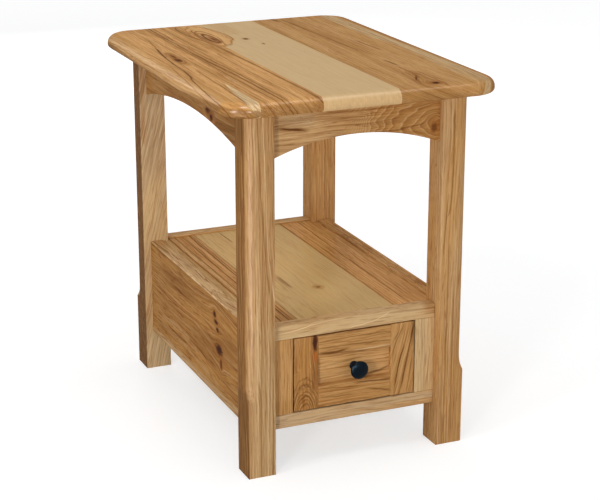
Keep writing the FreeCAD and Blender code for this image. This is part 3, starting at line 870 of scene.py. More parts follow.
    def draw_grain(self, colour: Socket) -> Socket:
        """Draw growth lines, pore lines, fibre and flecks over a colour.

        Args:
            colour: The colour underneath.

        Returns:
            The colour with the grain on it.
        """
        graph = self.graph
        dark = linear(Tone.GROWTH_LINE)
        line, glint = self.rings()
        colour = graph.mix(self.shown(line, self.LINE_SHARE), colour, dark, "MULTIPLY")
        colour = graph.mix(self.shown(glint, self.GLINT_SHARE), colour, linear(Tone.PALE))
        hair = self.shown(self.hairlines(), self.HAIR_SHARE)
        colour = graph.mix(hair, colour, dark, "MULTIPLY")
        shade = self.shown(self.fibre_share, self.FIBRE_SHARE)
        colour = graph.mix(shade, colour, linear(Tone.FIBRE), "MULTIPLY")
        fleck = graph.ease(self.drift(self.FLECK), *self.FLECK_STEP)
        dash = graph.ease(self.drift(self.DASH), *self.DASH_STEP)
        fleck = graph.times(graph.math("MAXIMUM", fleck, dash), self.figure.flecks)
        return graph.mix(fleck, colour, dark, "MULTIPLY")

    def build(self) -> bpy.types.Material:
        """Wire the whole material.

        Returns:
            The board's material.
        """
        graph = self.graph
        colour = self.draw_grain(self.ground())
        for streak in self.figure.streaks:
            colour = self.lay_streak(colour, streak)
        for loop in self.figure.loops:
            colour = self.lay_loop(colour, loop)
        for knot in self.figure.knots:
            colour = self.lay_knot(colour, knot)
        pores = graph.ease(self.drift(self.PORES), *self.PORES_STEP)
        colour = graph.mix(self.shown(pores, self.PORES_SHARE), colour, linear(Tone.STREAK))
        height = graph.less(
            graph.times(self.fibre, self.FIBRE_HEIGHT), graph.times(pores, self.PORES_HEIGHT)
        )
        graph.surface(
            Base_Color=colour,
            Roughness=self.ROUGHNESS,
            Specular_IOR_Level=0.0,
            Coat_Weight=self.LACQUER,
            Coat_Roughness=self.LACQUER_ROUGHNESS,
            Coat_IOR=self.LACQUER_INDEX,
            Normal=graph.bump(height, self.GRAIN_STRENGTH, self.GRAIN_DEPTH),
        )
        return graph.material


# A run along the grain that covers any board
WHOLE = (-400.0, 700.0)


def straight(across: float, run: Point = WHOLE) -> tuple[Point, ...]:
    """An edge or line that keeps its distance across the grain."""
    return (run[0], across), (run[1], across)


def strip(
    low: float, high: float, run: Point, tone: Tone, strength: float, soft: float,
    ruled: bool = False,
) -> Band:
    """Make a band with two straight edges.

    Args:
        low: Where it starts across the grain.
        high: Where it ends across the grain.
        run: Where it starts and ends along the grain.
        tone: Its colour.
        strength: How much of it shows.
        soft: Half the width over which its edges fade.
        ruled: Whether its edges keep from wandering.

    Returns:
        The band.
    """
    return Band(straight(low, run), straight(high, run), tone, strength, soft, ruled)


# Other finishes

@dataclass(frozen=True)
class Finish:
    """A metal or satin finish with faint brushing or speckle.

    The grain is how often its noise repeats in a millimetre along each axis.
    """

    DETAIL = (4.0, 0.6)
    SPREAD = (0.3, 0.7)
    DARKER = 0.72
    DARKER_SHARE = 0.35
    SMOOTHER = 0.05
    ROUGHER = 0.08
    BUMP_STRENGTH = 0.2
    BUMP_DEPTH = 0.05 * MM

    name: str
    colour: Colour
    roughness: float
    metallic: float = 1.0
    grain: Place = (0.4, 0.02, 0.4)
    sheen: float = 0.5
    tint: Colour = (255, 255, 255)

    def build(self) -> bpy.types.Material:
        """Wire the material.

        Returns:
            The finish as a material.
        """
        graph = Graph.of_material(self.name)
        places = graph.millimetres()
        spot = graph.vector(*(graph.times(p, g) for p, g in zip(places, self.grain)))
        noise = graph.noise(spot, *self.DETAIL)
        share = graph.ease(noise, *self.SPREAD, 0.0, self.DARKER_SHARE)
        darker = tuple(value * self.DARKER for value in self.colour)
        colour = graph.mix(share, linear(self.colour), linear(darker))
        rough = graph.ease(
            noise, *self.SPREAD, self.roughness - self.SMOOTHER, self.roughness + self.ROUGHER
        )
        graph.surface(
            Base_Color=colour,
            Metallic=self.metallic,
            Roughness=rough,
            Specular_IOR_Level=self.sheen,
            Specular_Tint=linear(self.tint),
            Normal=graph.bump(noise, self.BUMP_STRENGTH, self.BUMP_DEPTH),
        )
        return graph.material


# Piece making

# Places nearer than this, in metres, are the same place
CLOSE = 1e-6
NO_INSET = Vector().freeze()


def only(parts: list[Element], kind: type) -> list[Element]:
    """The parts of a mesh that are of one kind."""
    return [part for part in parts if isinstance(part, kind)]


def add_to_scene(name: str, data: bpy.types.ID) -> bpy.types.Object:
    """Put a mesh, a lamp or a camera into the scene.

    Args:
        name: The name of the new object.
        data: What the object shows.

    Returns:
        The new object.
    """
    made = bpy.data.objects.new(name, data)
    bpy.context.scene.collection.objects.link(made)
    return made


class Bench:
    """Makes meshes from blocks, and sets finished pieces into the table.

    Faces that meet at more than the sharp angle keep a crisp edge.
    """

    EASE_SEGMENTS = 3
    ROUND = 0.5
    SHARP = math.radians(40)

    def bevel(
        self, mesh: bmesh.types.BMesh, parts: list[Element], width: float,
        segments: int = EASE_SEGMENTS, affect: str = "EDGES",
    ) -> None:
        """Round edges or corners, and leave the flats beside them flat.

        Args:
            mesh: The mesh.
            parts: The edges or the corners to round.
            width: The radius in millimetres.
            segments: Faces across the round.
            affect: Whether edges or corners are given, as Blender names them.
        """
        made = bmesh.ops.bevel(
            mesh, geom=parts, offset=width * MM, offset_type="OFFSET", segments=segments,
            profile=self.ROUND, affect=affect, material=-1, clamp_overlap=True,
        )
        for face in made["faces"]:
            face.smooth = True

    def extrude(
        self, mesh: bmesh.types.BMesh, faces: list[bmesh.types.BMFace], step: Vector
    ) -> list[Element]:
        """Pull faces out of a mesh.

        Args:
            mesh: The mesh.
            faces: The faces to pull.
            step: How far to pull them, in metres.

        Returns:
            The corners, edges and faces that were pulled out.
        """
        made = bmesh.ops.extrude_face_region(mesh, geom=faces)["geom"]
        bmesh.ops.translate(mesh, vec=step, verts=only(made, bmesh.types.BMVert))
        return made

    def block(self, low: Vector, high: Vector, ease: float) -> bmesh.types.BMesh:
        """A block between two corners with eased edges.

        Args:
            low: Its lowest corner.
            high: Its highest corner.
            ease: The radius of its edges in millimetres.

        Returns:
            The block's mesh.
        """
        mesh = bmesh.new()
        bmesh.ops.create_cube(mesh, size=1.0)
        bmesh.ops.scale(mesh, vec=high - low, verts=mesh.verts)
        bmesh.ops.translate(mesh, vec=(low + high) / 2, verts=mesh.verts)
        if ease:
            self.bevel(mesh, list(mesh.edges), ease)
        return mesh

    def set_piece(
        self, name: str, mesh: bmesh.types.BMesh, material: bpy.types.Material,
        body: str, slot: str = "hickory",
    ) -> bpy.types.Object:
        """Turn a mesh into a finished piece that stands for a node.

        Args:
            name: The node that the piece stands for.
            mesh: Its mesh, which is freed.
            material: Its finish.
            body: The body that it rides on.
            slot: Not used.

        Returns:
            The finished piece.
        """
        bmesh.ops.recalc_face_normals(mesh, faces=mesh.faces)
        for edge in mesh.edges:
            if edge.is_manifold and edge.calc_face_angle() > self.SHARP:
                edge.smooth = False
        data = bpy.data.meshes.new(name)
        mesh.to_mesh(data)
        mesh.free()
        data.materials.append(material)
        piece = add_to_scene(f"{name}_piece", data)
        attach(piece, body)
        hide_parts(name)
        LOG.info("%s: %d faces", name, len(data.polygons))
        return piece

    def board(self, name: str, mesh: bmesh.types.BMesh, body: str) -> None:
        """Set in a board with its own figure."""
        self.set_piece(name, mesh, Hickory(name, FIGURES[name]).build(), body)

    def plank(self, name: str, body: str, ease: float, inset: Vector = NO_INSET) -> None:
        """Set in a plain eased block that fills a node's box.

        Args:
            name: The node.
            body: The body that it rides on.
            ease: The radius of its edges in millimetres.
            inset: What is left off at each end, where it is hidden.
        """
        low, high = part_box(name)
        self.board(name, self.block(low + inset, high - inset, ease), body)


# Sub-assemblies

@dataclass
class TableTop:
    """Five glued boards with one rounded outline. Sizes in millimetres.

    Points nearer to a cut than the snap, in metres, lie on it.
    """

    SNAP = 1e-7

    bench: Bench
    boards: int = 5
    corner: float = 50.0
    upper_round: float = 14.5
    lower_round: float = 6.5
    corner_segments: int = 20
    upper_segments: int = 12
    lower_segments: int = 7

    def names(self) -> list[str]:
        """Nodes of the boards, from left to right."""
        return [f"top_board_{number}" for number in range(1, self.boards + 1)]

    def slab(self) -> bmesh.types.BMesh:
        """Shape the whole slab, before it is parted into boards.

        Returns:
            The slab's mesh.
        """
        boxes = [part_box(name) for name in self.names()]
        low = Vector(min(box[0][axis] for box in boxes) for axis in range(3))
        high = Vector(max(box[1][axis] for box in boxes) for axis in range(3))
        mesh = self.bench.block(low, high, 0.0)
        upright = [e for e in mesh.edges if abs(e.verts[0].co.z - e.verts[1].co.z) > CLOSE]
        self.bench.bevel(mesh, upright, self.corner, self.corner_segments)
        for level, width, segments in (
            (high.z, self.upper_round, self.upper_segments),
            (low.z, self.lower_round, self.lower_segments),
        ):
            rim = [e for e in mesh.edges if all(abs(v.co.z - level) < CLOSE for v in e.verts)]
            self.bench.bevel(mesh, rim, width, segments)
        return mesh

    def build(self) -> None:
        """Part the slab at its glued joints and dress each board."""
        for name in self.names():
            low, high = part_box(name)
            mesh = self.slab()
            for place, away in ((low.x, -1), (high.x, 1)):
                cut = bmesh.ops.bisect_plane(
                    mesh, geom=[*mesh.verts, *mesh.edges, *mesh.faces], dist=self.SNAP,
                    plane_co=(place, 0, 0), plane_no=(away, 0, 0), clear_outer=True,
                )
                rim = only(cut["geom_cut"], bmesh.types.BMEdge)
                # At the slab's own edge nothing is cut, so nothing is open
                if len(rim) > 2:
                    bmesh.ops.contextual_create(mesh, geom=rim)
            self.bench.board(name, mesh, "case")


@dataclass
class Legs:
    """Four square legs whose outer corner is rounded down to a swept stop.

    Sizes are in millimetres: the stop is where the round starts above the
    floor, and the ramp is how far it takes to reach its full depth.
    """

    bench: Bench
    ease: float = 1.5
    round: float = 18.0
    stop: float = 127.0
    ramp: float = 29.0
    corner_segments: int = 12
    ramp_steps: int = 10

    def levels(self) -> list[Point]:
        """Find the heights of the leg's rings up to the top of its stop.

        Returns:
            Each height in millimetres, with how much of the round is cut there.
        """
        bite = self.round * (math.sqrt(2) - 1)
        swoop = (self.ramp**2 + bite**2) / (2 * bite)
        rings = [(0.0, 0.0)]
        for step in range(self.ramp_steps + 1):
            height = self.ramp * step / self.ramp_steps
            sink = swoop - math.sqrt(swoop**2 - (self.ramp - height) ** 2)
            rings.append((self.stop + height, 1 - sink / bite))
        return rings

    def shift_corner(
        self, verts: list[bmesh.types.BMVert], centre: Vector, way: Vector, share: float
    ) -> None:
        """Move a ring's arc outward where the round is only partly cut.

        Args:
            verts: The ring.
            centre: The middle of the round.
            way: Signs of the leg's outer corner in X and Y.
            share: How much of the round is cut at this height.
        """
        radius = self.round * MM
        for vert in verts:
            out_x = (vert.co.x - centre.x) * way.x
            out_y = (vert.co.y - centre.y) * way.y
            if min(out_x, out_y) < -CLOSE or max(out_x, out_y) < CLOSE:
                continue
            angle = math.atan2(out_y, out_x)
            square = radius / max(math.cos(angle), math.sin(angle))
            reach = radius + (square - radius) * (1 - share)
            vert.co.x = centre.x + way.x * reach * math.cos(angle)
            vert.co.y = centre.y + way.y * reach * math.sin(angle)

    def outline(
        self, mesh: bmesh.types.BMesh, low: Vector, high: Vector, way: Vector
    ) -> bmesh.types.BMFace:
        """Draw the leg's section, with its outer corner fully rounded.

        Args:
            mesh: The mesh to draw it in.
            low: The leg's lowest corner.
            high: The leg's highest corner.
            way: Signs of the leg's outer corner in X and Y.

        Returns:
            The section's face.
        """
        square = [(low.x, low.y), (high.x, low.y), (high.x, high.y), (low.x, high.y)]
        verts = [mesh.verts.new((x, y, 0.0)) for x, y in square]
        mesh.faces.new(verts)
        middle = (low + high) / 2
        outer = [
            v for v in verts
            if (v.co.x - middle.x) * way.x > 0 and (v.co.y - middle.y) * way.y > 0
        ]
        inner = [v for v in verts if v not in outer]
        self.bench.bevel(mesh, outer, self.round, self.corner_segments, "VERTICES")
        self.bench.bevel(mesh, inner, self.ease, affect="VERTICES")
        return mesh.faces[:][0]

    def leg(self, name: str, way: Vector) -> bmesh.types.BMesh:
        """Stack one leg up from rings.

        Args:
            name: Its node.
            way: Signs of the leg's outer corner in X and Y.

        Returns:
            The leg's mesh.
        """
        low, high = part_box(name)
        mesh = bmesh.new()
        face = self.outline(mesh, low, high, way)
        outer = Vector((high.x if way.x > 0 else low.x, high.y if way.y > 0 else low.y, 0))
        centre = outer - way * self.round * MM
        levels = self.levels() + [(high.z / MM, 1.0)]
        start, share = levels[0]
        rings = [(list(face.verts), share)]
        for level, share in levels[1:]:
            below = face
            made = self.bench.extrude(mesh, [below], Axis.Z.step((level - start) * MM))
            face = only(made, bmesh.types.BMFace)[0]
            # Pulling up a face leaves it behind inside, from the second ring on
            if len(rings) > 1:
                bmesh.ops.delete(mesh, geom=[below], context="FACES_ONLY")
            rings.append((only(made, bmesh.types.BMVert), share))
            start = level
        for ring, share in rings:
            self.shift_corner(ring, centre, way, share)
        for side in mesh.faces:
            side.smooth = True
        return mesh

    def build(self) -> None:
        """Make and dress the four legs."""
        for end, sign_y in (("front", -1), ("rear", 1)):
            for hand, sign_x in (("left", -1), ("right", 1)):
                name = f"leg_{end}_{hand}"
                self.bench.board(name, self.leg(name, Vector((sign_x, sign_y, 0))), "case")


@dataclass
class Aprons:
    """Four boards under the top with arched lower edges.

    Sizes are in millimetres. The square band is the upper part of an apron,
    whose edges stay sharp.
    """

    bench: Bench
    tenon: float = 15.0
    rise: float = 27.0
    ease: float = 1.2
    steps: int = 56
    square_band: float = 10.0

    def apron(self, name: str, along: Axis) -> bmesh.types.BMesh:
        """Bend one apron from a strip of quads and thicken it.

        Args:
            name: Its node.
            along: The axis that it runs along.

        Returns:
            The apron's mesh.
        """
        low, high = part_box(name)
        out = Axis.Y if along is Axis.X else Axis.X
        start = low[along.value] + self.tenon * MM
        end = high[along.value] - self.tenon * MM
        half = (end - start) / 2
        rise = self.rise * MM
        radius = (half**2 + rise**2) / (2 * rise)
        mesh = bmesh.new()
        bmesh.ops.create_grid(mesh, x_segments=self.steps, y_segments=1, size=1.0)
        for vert in mesh.verts:
            run = vert.co.x * half
            lift = math.sqrt(radius**2 - run**2) - (radius - rise)
            height = high.z if vert.co.y > 0 else low.z + lift
            vert.co[along.value] = (start + end) / 2 + run
            vert.co[out.value] = low[out.value]
            vert.co.z = height
        thickness = high[out.value] - low[out.value]
        self.bench.extrude(mesh, list(mesh.faces), out.step(thickness))
        arch_top = high.z - self.square_band * MM
        arris = [
            e for e in mesh.edges
            if abs(e.verts[0].co[out.value] - e.verts[1].co[out.value]) < CLOSE
            and all(v.co.z < arch_top for v in e.verts)
            and abs(e.verts[0].co[along.value] - e.verts[1].co[along.value]) > CLOSE
        ]
        self.bench.bevel(mesh, arris, self.ease)
        return mesh

    def build(self) -> None:
        """Make and dress the four aprons."""
        for name, along in (
            ("apron_front", Axis.X), ("apron_rear", Axis.X),
            ("apron_left", Axis.Y), ("apron_right", Axis.Y),
        ):
            self.bench.board(name, self.apron(name, along), "case")


@dataclass
class Case:
    """Panels, rails and stiles round the drawer, and the shelf over it.

    Sizes are in millimetres. Faces that meet at less than the flat angle are
    joined into one, in radians.
    """

    bench: Bench
    tenon: float = 15.0
    ease: float = 1.3
    stile_ease: float = 0.8
    shelf_ease: float = 0.3
    shelf_segments: int = 2
    notch: float = 11.0
    flat: float = 0.01

    def outer_shelf_board(self, name: str, sign: int) -> None:
        """Set in a shelf board with its outer corners cut round the legs.

        Args:
            name: Its node.
            sign: The side of the table that it lies on.
        """
        low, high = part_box(name)
        notch = self.notch * MM
        outer, inner = (low.x, high.x) if sign < 0 else (high.x, low.x)
        columns = sorted((outer, outer - sign * notch, inner))
        rows = (low.y, low.y + notch, high.y - notch, high.y)
        mesh = bmesh.new()
        wide, long = len(columns) - 1, len(rows) - 1
        bmesh.ops.create_grid(mesh, x_segments=wide, y_segments=long, size=1.0)
        for vert in mesh.verts:
            column = round((vert.co.x + 1) / 2 * wide)
            row = round((vert.co.y + 1) / 2 * long)
            vert.co = (columns[column], rows[row], low.z)
        corner = [
            face for face in mesh.faces
            if (face.calc_center_median().x - (outer - sign * notch)) * sign > 0
            and not rows[1] < face.calc_center_median().y < rows[2]
        ]
        bmesh.ops.delete(mesh, geom=corner, context="FACES")
        self.bench.extrude(mesh, list(mesh.faces), Axis.Z.step(high.z - low.z))
        bmesh.ops.dissolve_limit(
            mesh, angle_limit=self.flat, verts=mesh.verts, edges=mesh.edges
        )
        self.bench.bevel(mesh, list(mesh.edges), self.shelf_ease, self.shelf_segments)
        self.bench.board(name, mesh, "case")

    def build(self) -> None:
        """Make and dress the case and the shelf."""
        for name, along in (
            ("side_panel_left", Axis.Y), ("side_panel_right", Axis.Y), ("rear_panel", Axis.X),
            ("front_rail_top", Axis.X), ("front_rail_bottom", Axis.X),
        ):
            self.bench.plank(name, "case", self.ease, along.step(self.tenon * MM))
        for name in ("front_stile_left", "front_stile_right"):
            self.bench.plank(name, "case", self.stile_ease)
        self.outer_shelf_board("shelf_board_1", -1)
        self.outer_shelf_board("shelf_board_4", 1)
        for name in ("shelf_board_2", "shelf_board_3"):
            self.bench.plank(name, "case", self.shelf_ease)


@dataclass
class Drawer:
    """The drawer's framed front and its knob. Sizes in millimetres."""

    bench: Bench
    ease: float = 0.9
    panel_ease: float = 0.4
    tongue: float = 8.0
    knob_steps: int = 40
    knob_levels: int = 2

    def knob(self) -> None:
        """Spin the turned knob from its outline, and set it in."""
        low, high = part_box("knob")
        middle = (low + high) / 2
        radius = (high.x - low.x) / 2
        reach = high.y - low.y
        mesh = bmesh.new()
        verts = [
            mesh.verts.new((middle.x, high.y - reach * forward, middle.z + radius * out))
            for forward, out in KNOB_OUTLINE_SHARES
        ]
        edges = [mesh.edges.new(pair) for pair in zip(verts, verts[1:])]
        bmesh.ops.spin(
            mesh, geom=[*verts, *edges], cent=middle, axis=(0, 1, 0), angle=2 * math.pi,
            steps=self.knob_steps, use_merge=True,
        )
        bmesh.ops.remove_doubles(mesh, verts=mesh.verts, dist=CLOSE)
        for face in mesh.faces:
            face.smooth = True
        satin = Finish(
            "knob_satin_black", (9, 14, 19), 0.3, metallic=0.0, grain=(1.5, 1.5, 1.5),
            sheen=0.09, tint=(176, 219, 255),
        )
        piece = self.bench.set_piece("knob", mesh, satin.build(), "drawer", "knob_black")
        smooth = piece.modifiers.new("smooth", "SUBSURF")
        smooth.levels = self.knob_levels
        smooth.render_levels = self.knob_levels

    def build(self) -> None:
        """Make and dress the drawer's front."""
        for name in ("drawer_stile_left", "drawer_stile_right"):
            self.bench.plank(name, "drawer", self.ease)
        for name in ("drawer_rail_top", "drawer_rail_bottom"):
            self.bench.plank(name, "drawer", self.ease, Axis.X.step(self.tongue * MM))
        self.bench.plank("drawer_panel", "drawer", self.panel_ease)
        self.knob()


# Outline of the knob from its foot to its crown: shares of reach and of radius
KNOB_OUTLINE_SHARES = (
    (0.0, 0.0), (0.0, 0.47), (0.08, 0.47), (0.12, 0.36), (0.30, 0.31), (0.48, 0.40),
    (0.62, 0.66), (0.70, 0.90), (0.79, 1.0), (0.90, 0.88), (0.975, 0.52), (1.0, 0.0),
)


@dataclass
class Hidden:
    """Dresses the nodes that keep their own meshes."""

    SEED = 40.0

    nodes: dict[str, bpy.types.Object]

    def dress(self, names: list[str], material: bpy.types.Material) -> None:
        """Put a material on nodes.

        Args:
            names: The nodes.
            material: Their finish.
        """
        for name in names:
            piece = self.nodes[name]
            for slot in piece.material_slots:
                slot.material = material
            LOG.info("%s: dressed", name)

    def build(self) -> None:
        """Dress slides, screws, the drawer's box, blocks, cleats and buttons."""
        for name, grain, out in (
            ("drawer_side_left", Axis.Y, Axis.X), ("drawer_side_right", Axis.Y, Axis.X),
            ("drawer_box_front", Axis.X, Axis.Y), ("drawer_box_back", Axis.X, Axis.Y),
            ("drawer_bottom", Axis.Y, Axis.Z),
            ("slide_block_left", Axis.Y, Axis.X), ("slide_block_right", Axis.Y, Axis.X),
            ("shelf_cleat_left", Axis.Y, Axis.Z), ("shelf_cleat_right", Axis.Y, Axis.Z),
            ("shelf_cleat_front", Axis.X, Axis.Z), ("shelf_cleat_rear", Axis.X, Axis.Z),
            ("top_buttons", Axis.Y, Axis.Z), ("stile_dowels", Axis.Z, Axis.Y),
        ):
            seed = self.SEED + len(name)
            figure = Figure(grain, out, seed, Tone.SAP, Tone.HONEY, 0.4, contrast=0.3)
            self.dress([name], Hickory(name, figure).build())
        zinc = Finish("zinc_plated_steel", (176, 178, 184), 0.36).build()
        ball = Finish("ball_steel", (205, 207, 210), 0.14, grain=(0.8, 0.8, 0.8)).build()
        screw = Finish("screw_steel", (168, 158, 128), 0.34, grain=(0.8, 0.8, 0.8)).build()
        slides = [n for n in self.nodes if n.startswith("slide_") and "block" not in n]
        self.dress([n for n in slides if "ball" not in n and "screw" not in n], zinc)
        self.dress([n for n in slides if "ball" in n], ball)
        self.dress([n for n in self.nodes if "screw" in n], screw)


# Figures, board by board

TOP_HEART_EDGE = (
    (-330, -77.5), (40, -77.5), (92, -76), (112, -62), (135, -47),
    (175, -37), (220, -40), (270, -50), (320, -62),
)
# Edge of the painted shade on board 1's lower left roundover and front-left corner
TOP_RIM_SHADE_EDGE = (
    (-330, -120), (-311, -182), (-309, -196), (-306, -204), (-300, -213.5),
    (-290, -223), (-280, -228.5), (-261, -232.2), (330, -232.2),
)
TOP_STREAKS = (
    Streak(((-330, -140), (-100, -141), (0, -145), (150, -146), (320, -142)), 2, 0.62),
    Streak(((-330, -133), (-100, -134), (0, -137), (150, -138), (320, -134)), 1.7, 0.5),
    Streak(((-330, -150), (0, -151), (320, -150)), 2, 0.35),
    Streak(((-330, -84), (0, -86), (120, -90), (180, -97), (240, -104), (290, -93)), 2.4, 0.5),
    Streak(((100, -72), (135, -50), (175, -39), (220, -42), (270, -52)), 1.4, 0.45),
    Streak(((140, -80), (175, -84), (215, -86), (250, -80)), 2.4, 0.6),
    Streak(((-330, -168), (0, -171), (200, -170)), 1.6, 0.3),
    Streak(((-330, -110), (-150, -112), (50, -108)), 2.2, 0.3),
    Streak(((60, -121), (180, -124), (320, -120)), 1.8, 0.35),
)
TOP_LOOPS = (
    Loop((184, -75), (56, 15), 2.2, 0.75, Tone.RUSSET),
    Loop((172, -74), (38, 7), 2.6, 0.9),
    Loop((160, -78), (60, 13), 1.8, 0.5, Tone.RUSSET),
    Loop((196, -71), (88, 27), 1.3, 0.5, Tone.RUSSET),
)
TOP_FIGURES = {
    "top_board_1": Figure(
        Axis.Y, Axis.Z, 1, Tone.AMBER, Tone.HEART, 0.55, 6.5, 0.42, (-400, 380),
        lean=0.7, face=610, flecks=0.35,
        bands=(
            Band(
                ((-330, -199), (-275, -195), (-220, -187), (-168, -178)),
                ((-330, -173), (-168, -176)), Tone.PALE, 0.95, 0.8,
            ),
            # Painted highlight: the left roundover paler
            strip(-270, -219, (-272, 700), Tone.SAP, 0.35, 3.5),
            # Partly a redder heartwood tone, partly painted shade: the front end of board 1, at
            # the front-left corner, darker
            strip(-270, -203, (-340, -300), Tone.HEART, 0.6, 7),
            # Painted shade: board 1's lower left roundover and front-left corner darker
            Band(straight(-290), TOP_RIM_SHADE_EDGE, Tone.UMBER, 0.78, 3, ruled=True),
            Band(((-20, -196), (90, -194)), ((-20, -176), (90, -174)), Tone.HEART, 0.6, 7),
        ),
        streaks=(
            Streak(((-120, -214), (-75, -206), (5, -202), (60, -197), (120, -189)), 2.2, 0.7),
            Streak(((100, -192), (150, -185), (200, -177.5)), 1.2, 0.6),
            Streak(((-300, -232), (-250, -228), (-175, -221), (-118, -214)), 1.4, 0.6),
            Streak(((-240, -238), (-120, -224), (-10, -213)), 1.1, 0.35),
            Streak(((-60, -195), (0, -191), (60, -189)), 1.2, 0.45),
            Streak(((-300, -196), (-200, -190), (-60, -185)), 1.6, 0.5),
        ),
        knots=(
            Knot((24, -185.5), (15, 5.4), 1.4, 0.95),
            Knot((52, -183.5), (20, 3.6), 1.2, 0.85, Tone.STREAK, Tone.RUSSET),
        ),
        loops=(Loop((38, -185), (42, 9.5), 1.5, 0.5, Tone.RUSSET),),
    ),
    "top_board_2": Figure(
        Axis.Y, Axis.Z, 2, Tone.AMBER, Tone.HEART, 0.7, 7, 0.48, (-320, 380),
        lean=0.7, face=610, flecks=0.4,
        bands=(
            # Painted shade: the lower front roundover darker
            strip(-200, -60, (-340, -308), Tone.UMBER, 0.8, 1.5),
        ),
        streaks=TOP_STREAKS,
        knots=(Knot((163, -73), (24, 4), 1.2, 0.75, Tone.STREAK, Tone.RUSSET),),
        eyes=(Eye((195, -72), (105, 34), 5.5, 0.55),),
        loops=TOP_LOOPS,
    ),
    "top_board_3": Figure(
        Axis.Y, Axis.Z, 2, Tone.SAP, Tone.SAP, 0, 8, 0.03, (-320, 380),
        flecks=0.06,
        bands=(
            Band(straight(-120), TOP_HEART_EDGE, Tone.AMBER, 0.95, 0.8),
            Band(((190, -40), (320, -42)), ((190, -8), (320, -4)), Tone.HONEY, 0.3, 5),
            strip(-80, 60, (-340, -308.5), Tone.AMBER, 0.35, 1.5),
        ),
        streaks=TOP_STREAKS[3:5],
        knots=(
            Knot((163, -73), (24, 4), 1.2, 0.75, Tone.STREAK, Tone.RUSSET),
            Knot((145, -21), (6, 4.4), 1.8, 0.8, Tone.STREAK, Tone.STREAK),
            Knot((95, -8.5), (5, 1.6), 1.5, 0.8, Tone.STREAK, Tone.STREAK),
        ),
        eyes=(Eye((195, -72), (105, 34), 5.5, 0.55),),
        loops=TOP_LOOPS,
    ),
    "top_board_4": Figure(
        Axis.Y, Axis.Z, 4, Tone.HONEY, Tone.HEART, 0.6, 6, 0.4, (300, 580),
        lean=2.4, face=610, flecks=0.35,
        bands=(
            strip(40, 60, WHOLE, Tone.HEART, 0.45, 6),
            # Painted shade: the lower front roundover darker
            strip(0, 118, (-340, -305), Tone.UMBER, 0.5, 5),
            Band(((-300, 92), (-200, 104)), ((-300, 136), (-200, 128)), Tone.HEART, 0.8, 8),
            Band(((-60, 108), (290, 98)), ((-60, 132), (290, 124)), Tone.HEART, 0.45, 8),
        ),
        streaks=(
            Streak(((-20, 115), (120, 109), (290, 104)), 2.2, 0.4),
            Streak(((-150, 122), (-108, 120)), 2.6, 0.6),
            Streak(((-285, 96), (-255, 104), (-225, 116), (-160, 118)), 3.4, 0.6, Tone.RUSSET),
            Streak(((-262, 99), (-246, 106), (-232, 113)), 2.6, 0.8),
            Streak(((-345, 66), (-308, 70)), 4, 0.5),
            Streak(((-345, 104), (-312, 96)), 3, 0.4),
            Streak(((-310, 128), (-240, 131), (-200, 129)), 2.6, 0.45, Tone.RUSSET),
            Streak(((-30, 150), (60, 146)), 2.4, 0.35),
            Streak(((270, 92), (320, 84)), 5, 0.6),
        ),
        knots=(Knot((-287, 118), (10, 9), 1.6, 1, Tone.BARK, Tone.RUSSET),),
        eyes=(Eye((-270, 118), (120, 32), 7, 0.7),),
    ),
    "top_board_5": Figure(
        Axis.Y, Axis.Z, 5, Tone.HONEY, Tone.HEART, 0.65, 6, 0.35, (300, 600),
        lean=-0.5, face=610, flecks=0.35,
        bands=(
            Band(
                ((-330, 198), (-100, 194), (20, 190), (90, 183), (330, 182)),
                ((-330, 211), (0, 208), (330, 204)), Tone.SAP, 0.85, 2,
            ),
            Band(
                ((-302, 166), (-220, 176), (-60, 190)),
                ((-302, 205), (-60, 205)), Tone.SAP, 0.5, 5,
            ),
            # Painted shade in a reddish heartwood tone: the right roundover darker
            Band(((-330, 214), (330, 210)), straight(260), Tone.RUSSET, 0.6, 2.5),
            # Painted shade: the lower front roundover darker
            strip(150, 196, (-340, -308), Tone.HEART, 0.4, 3),
        ),
    ),
}

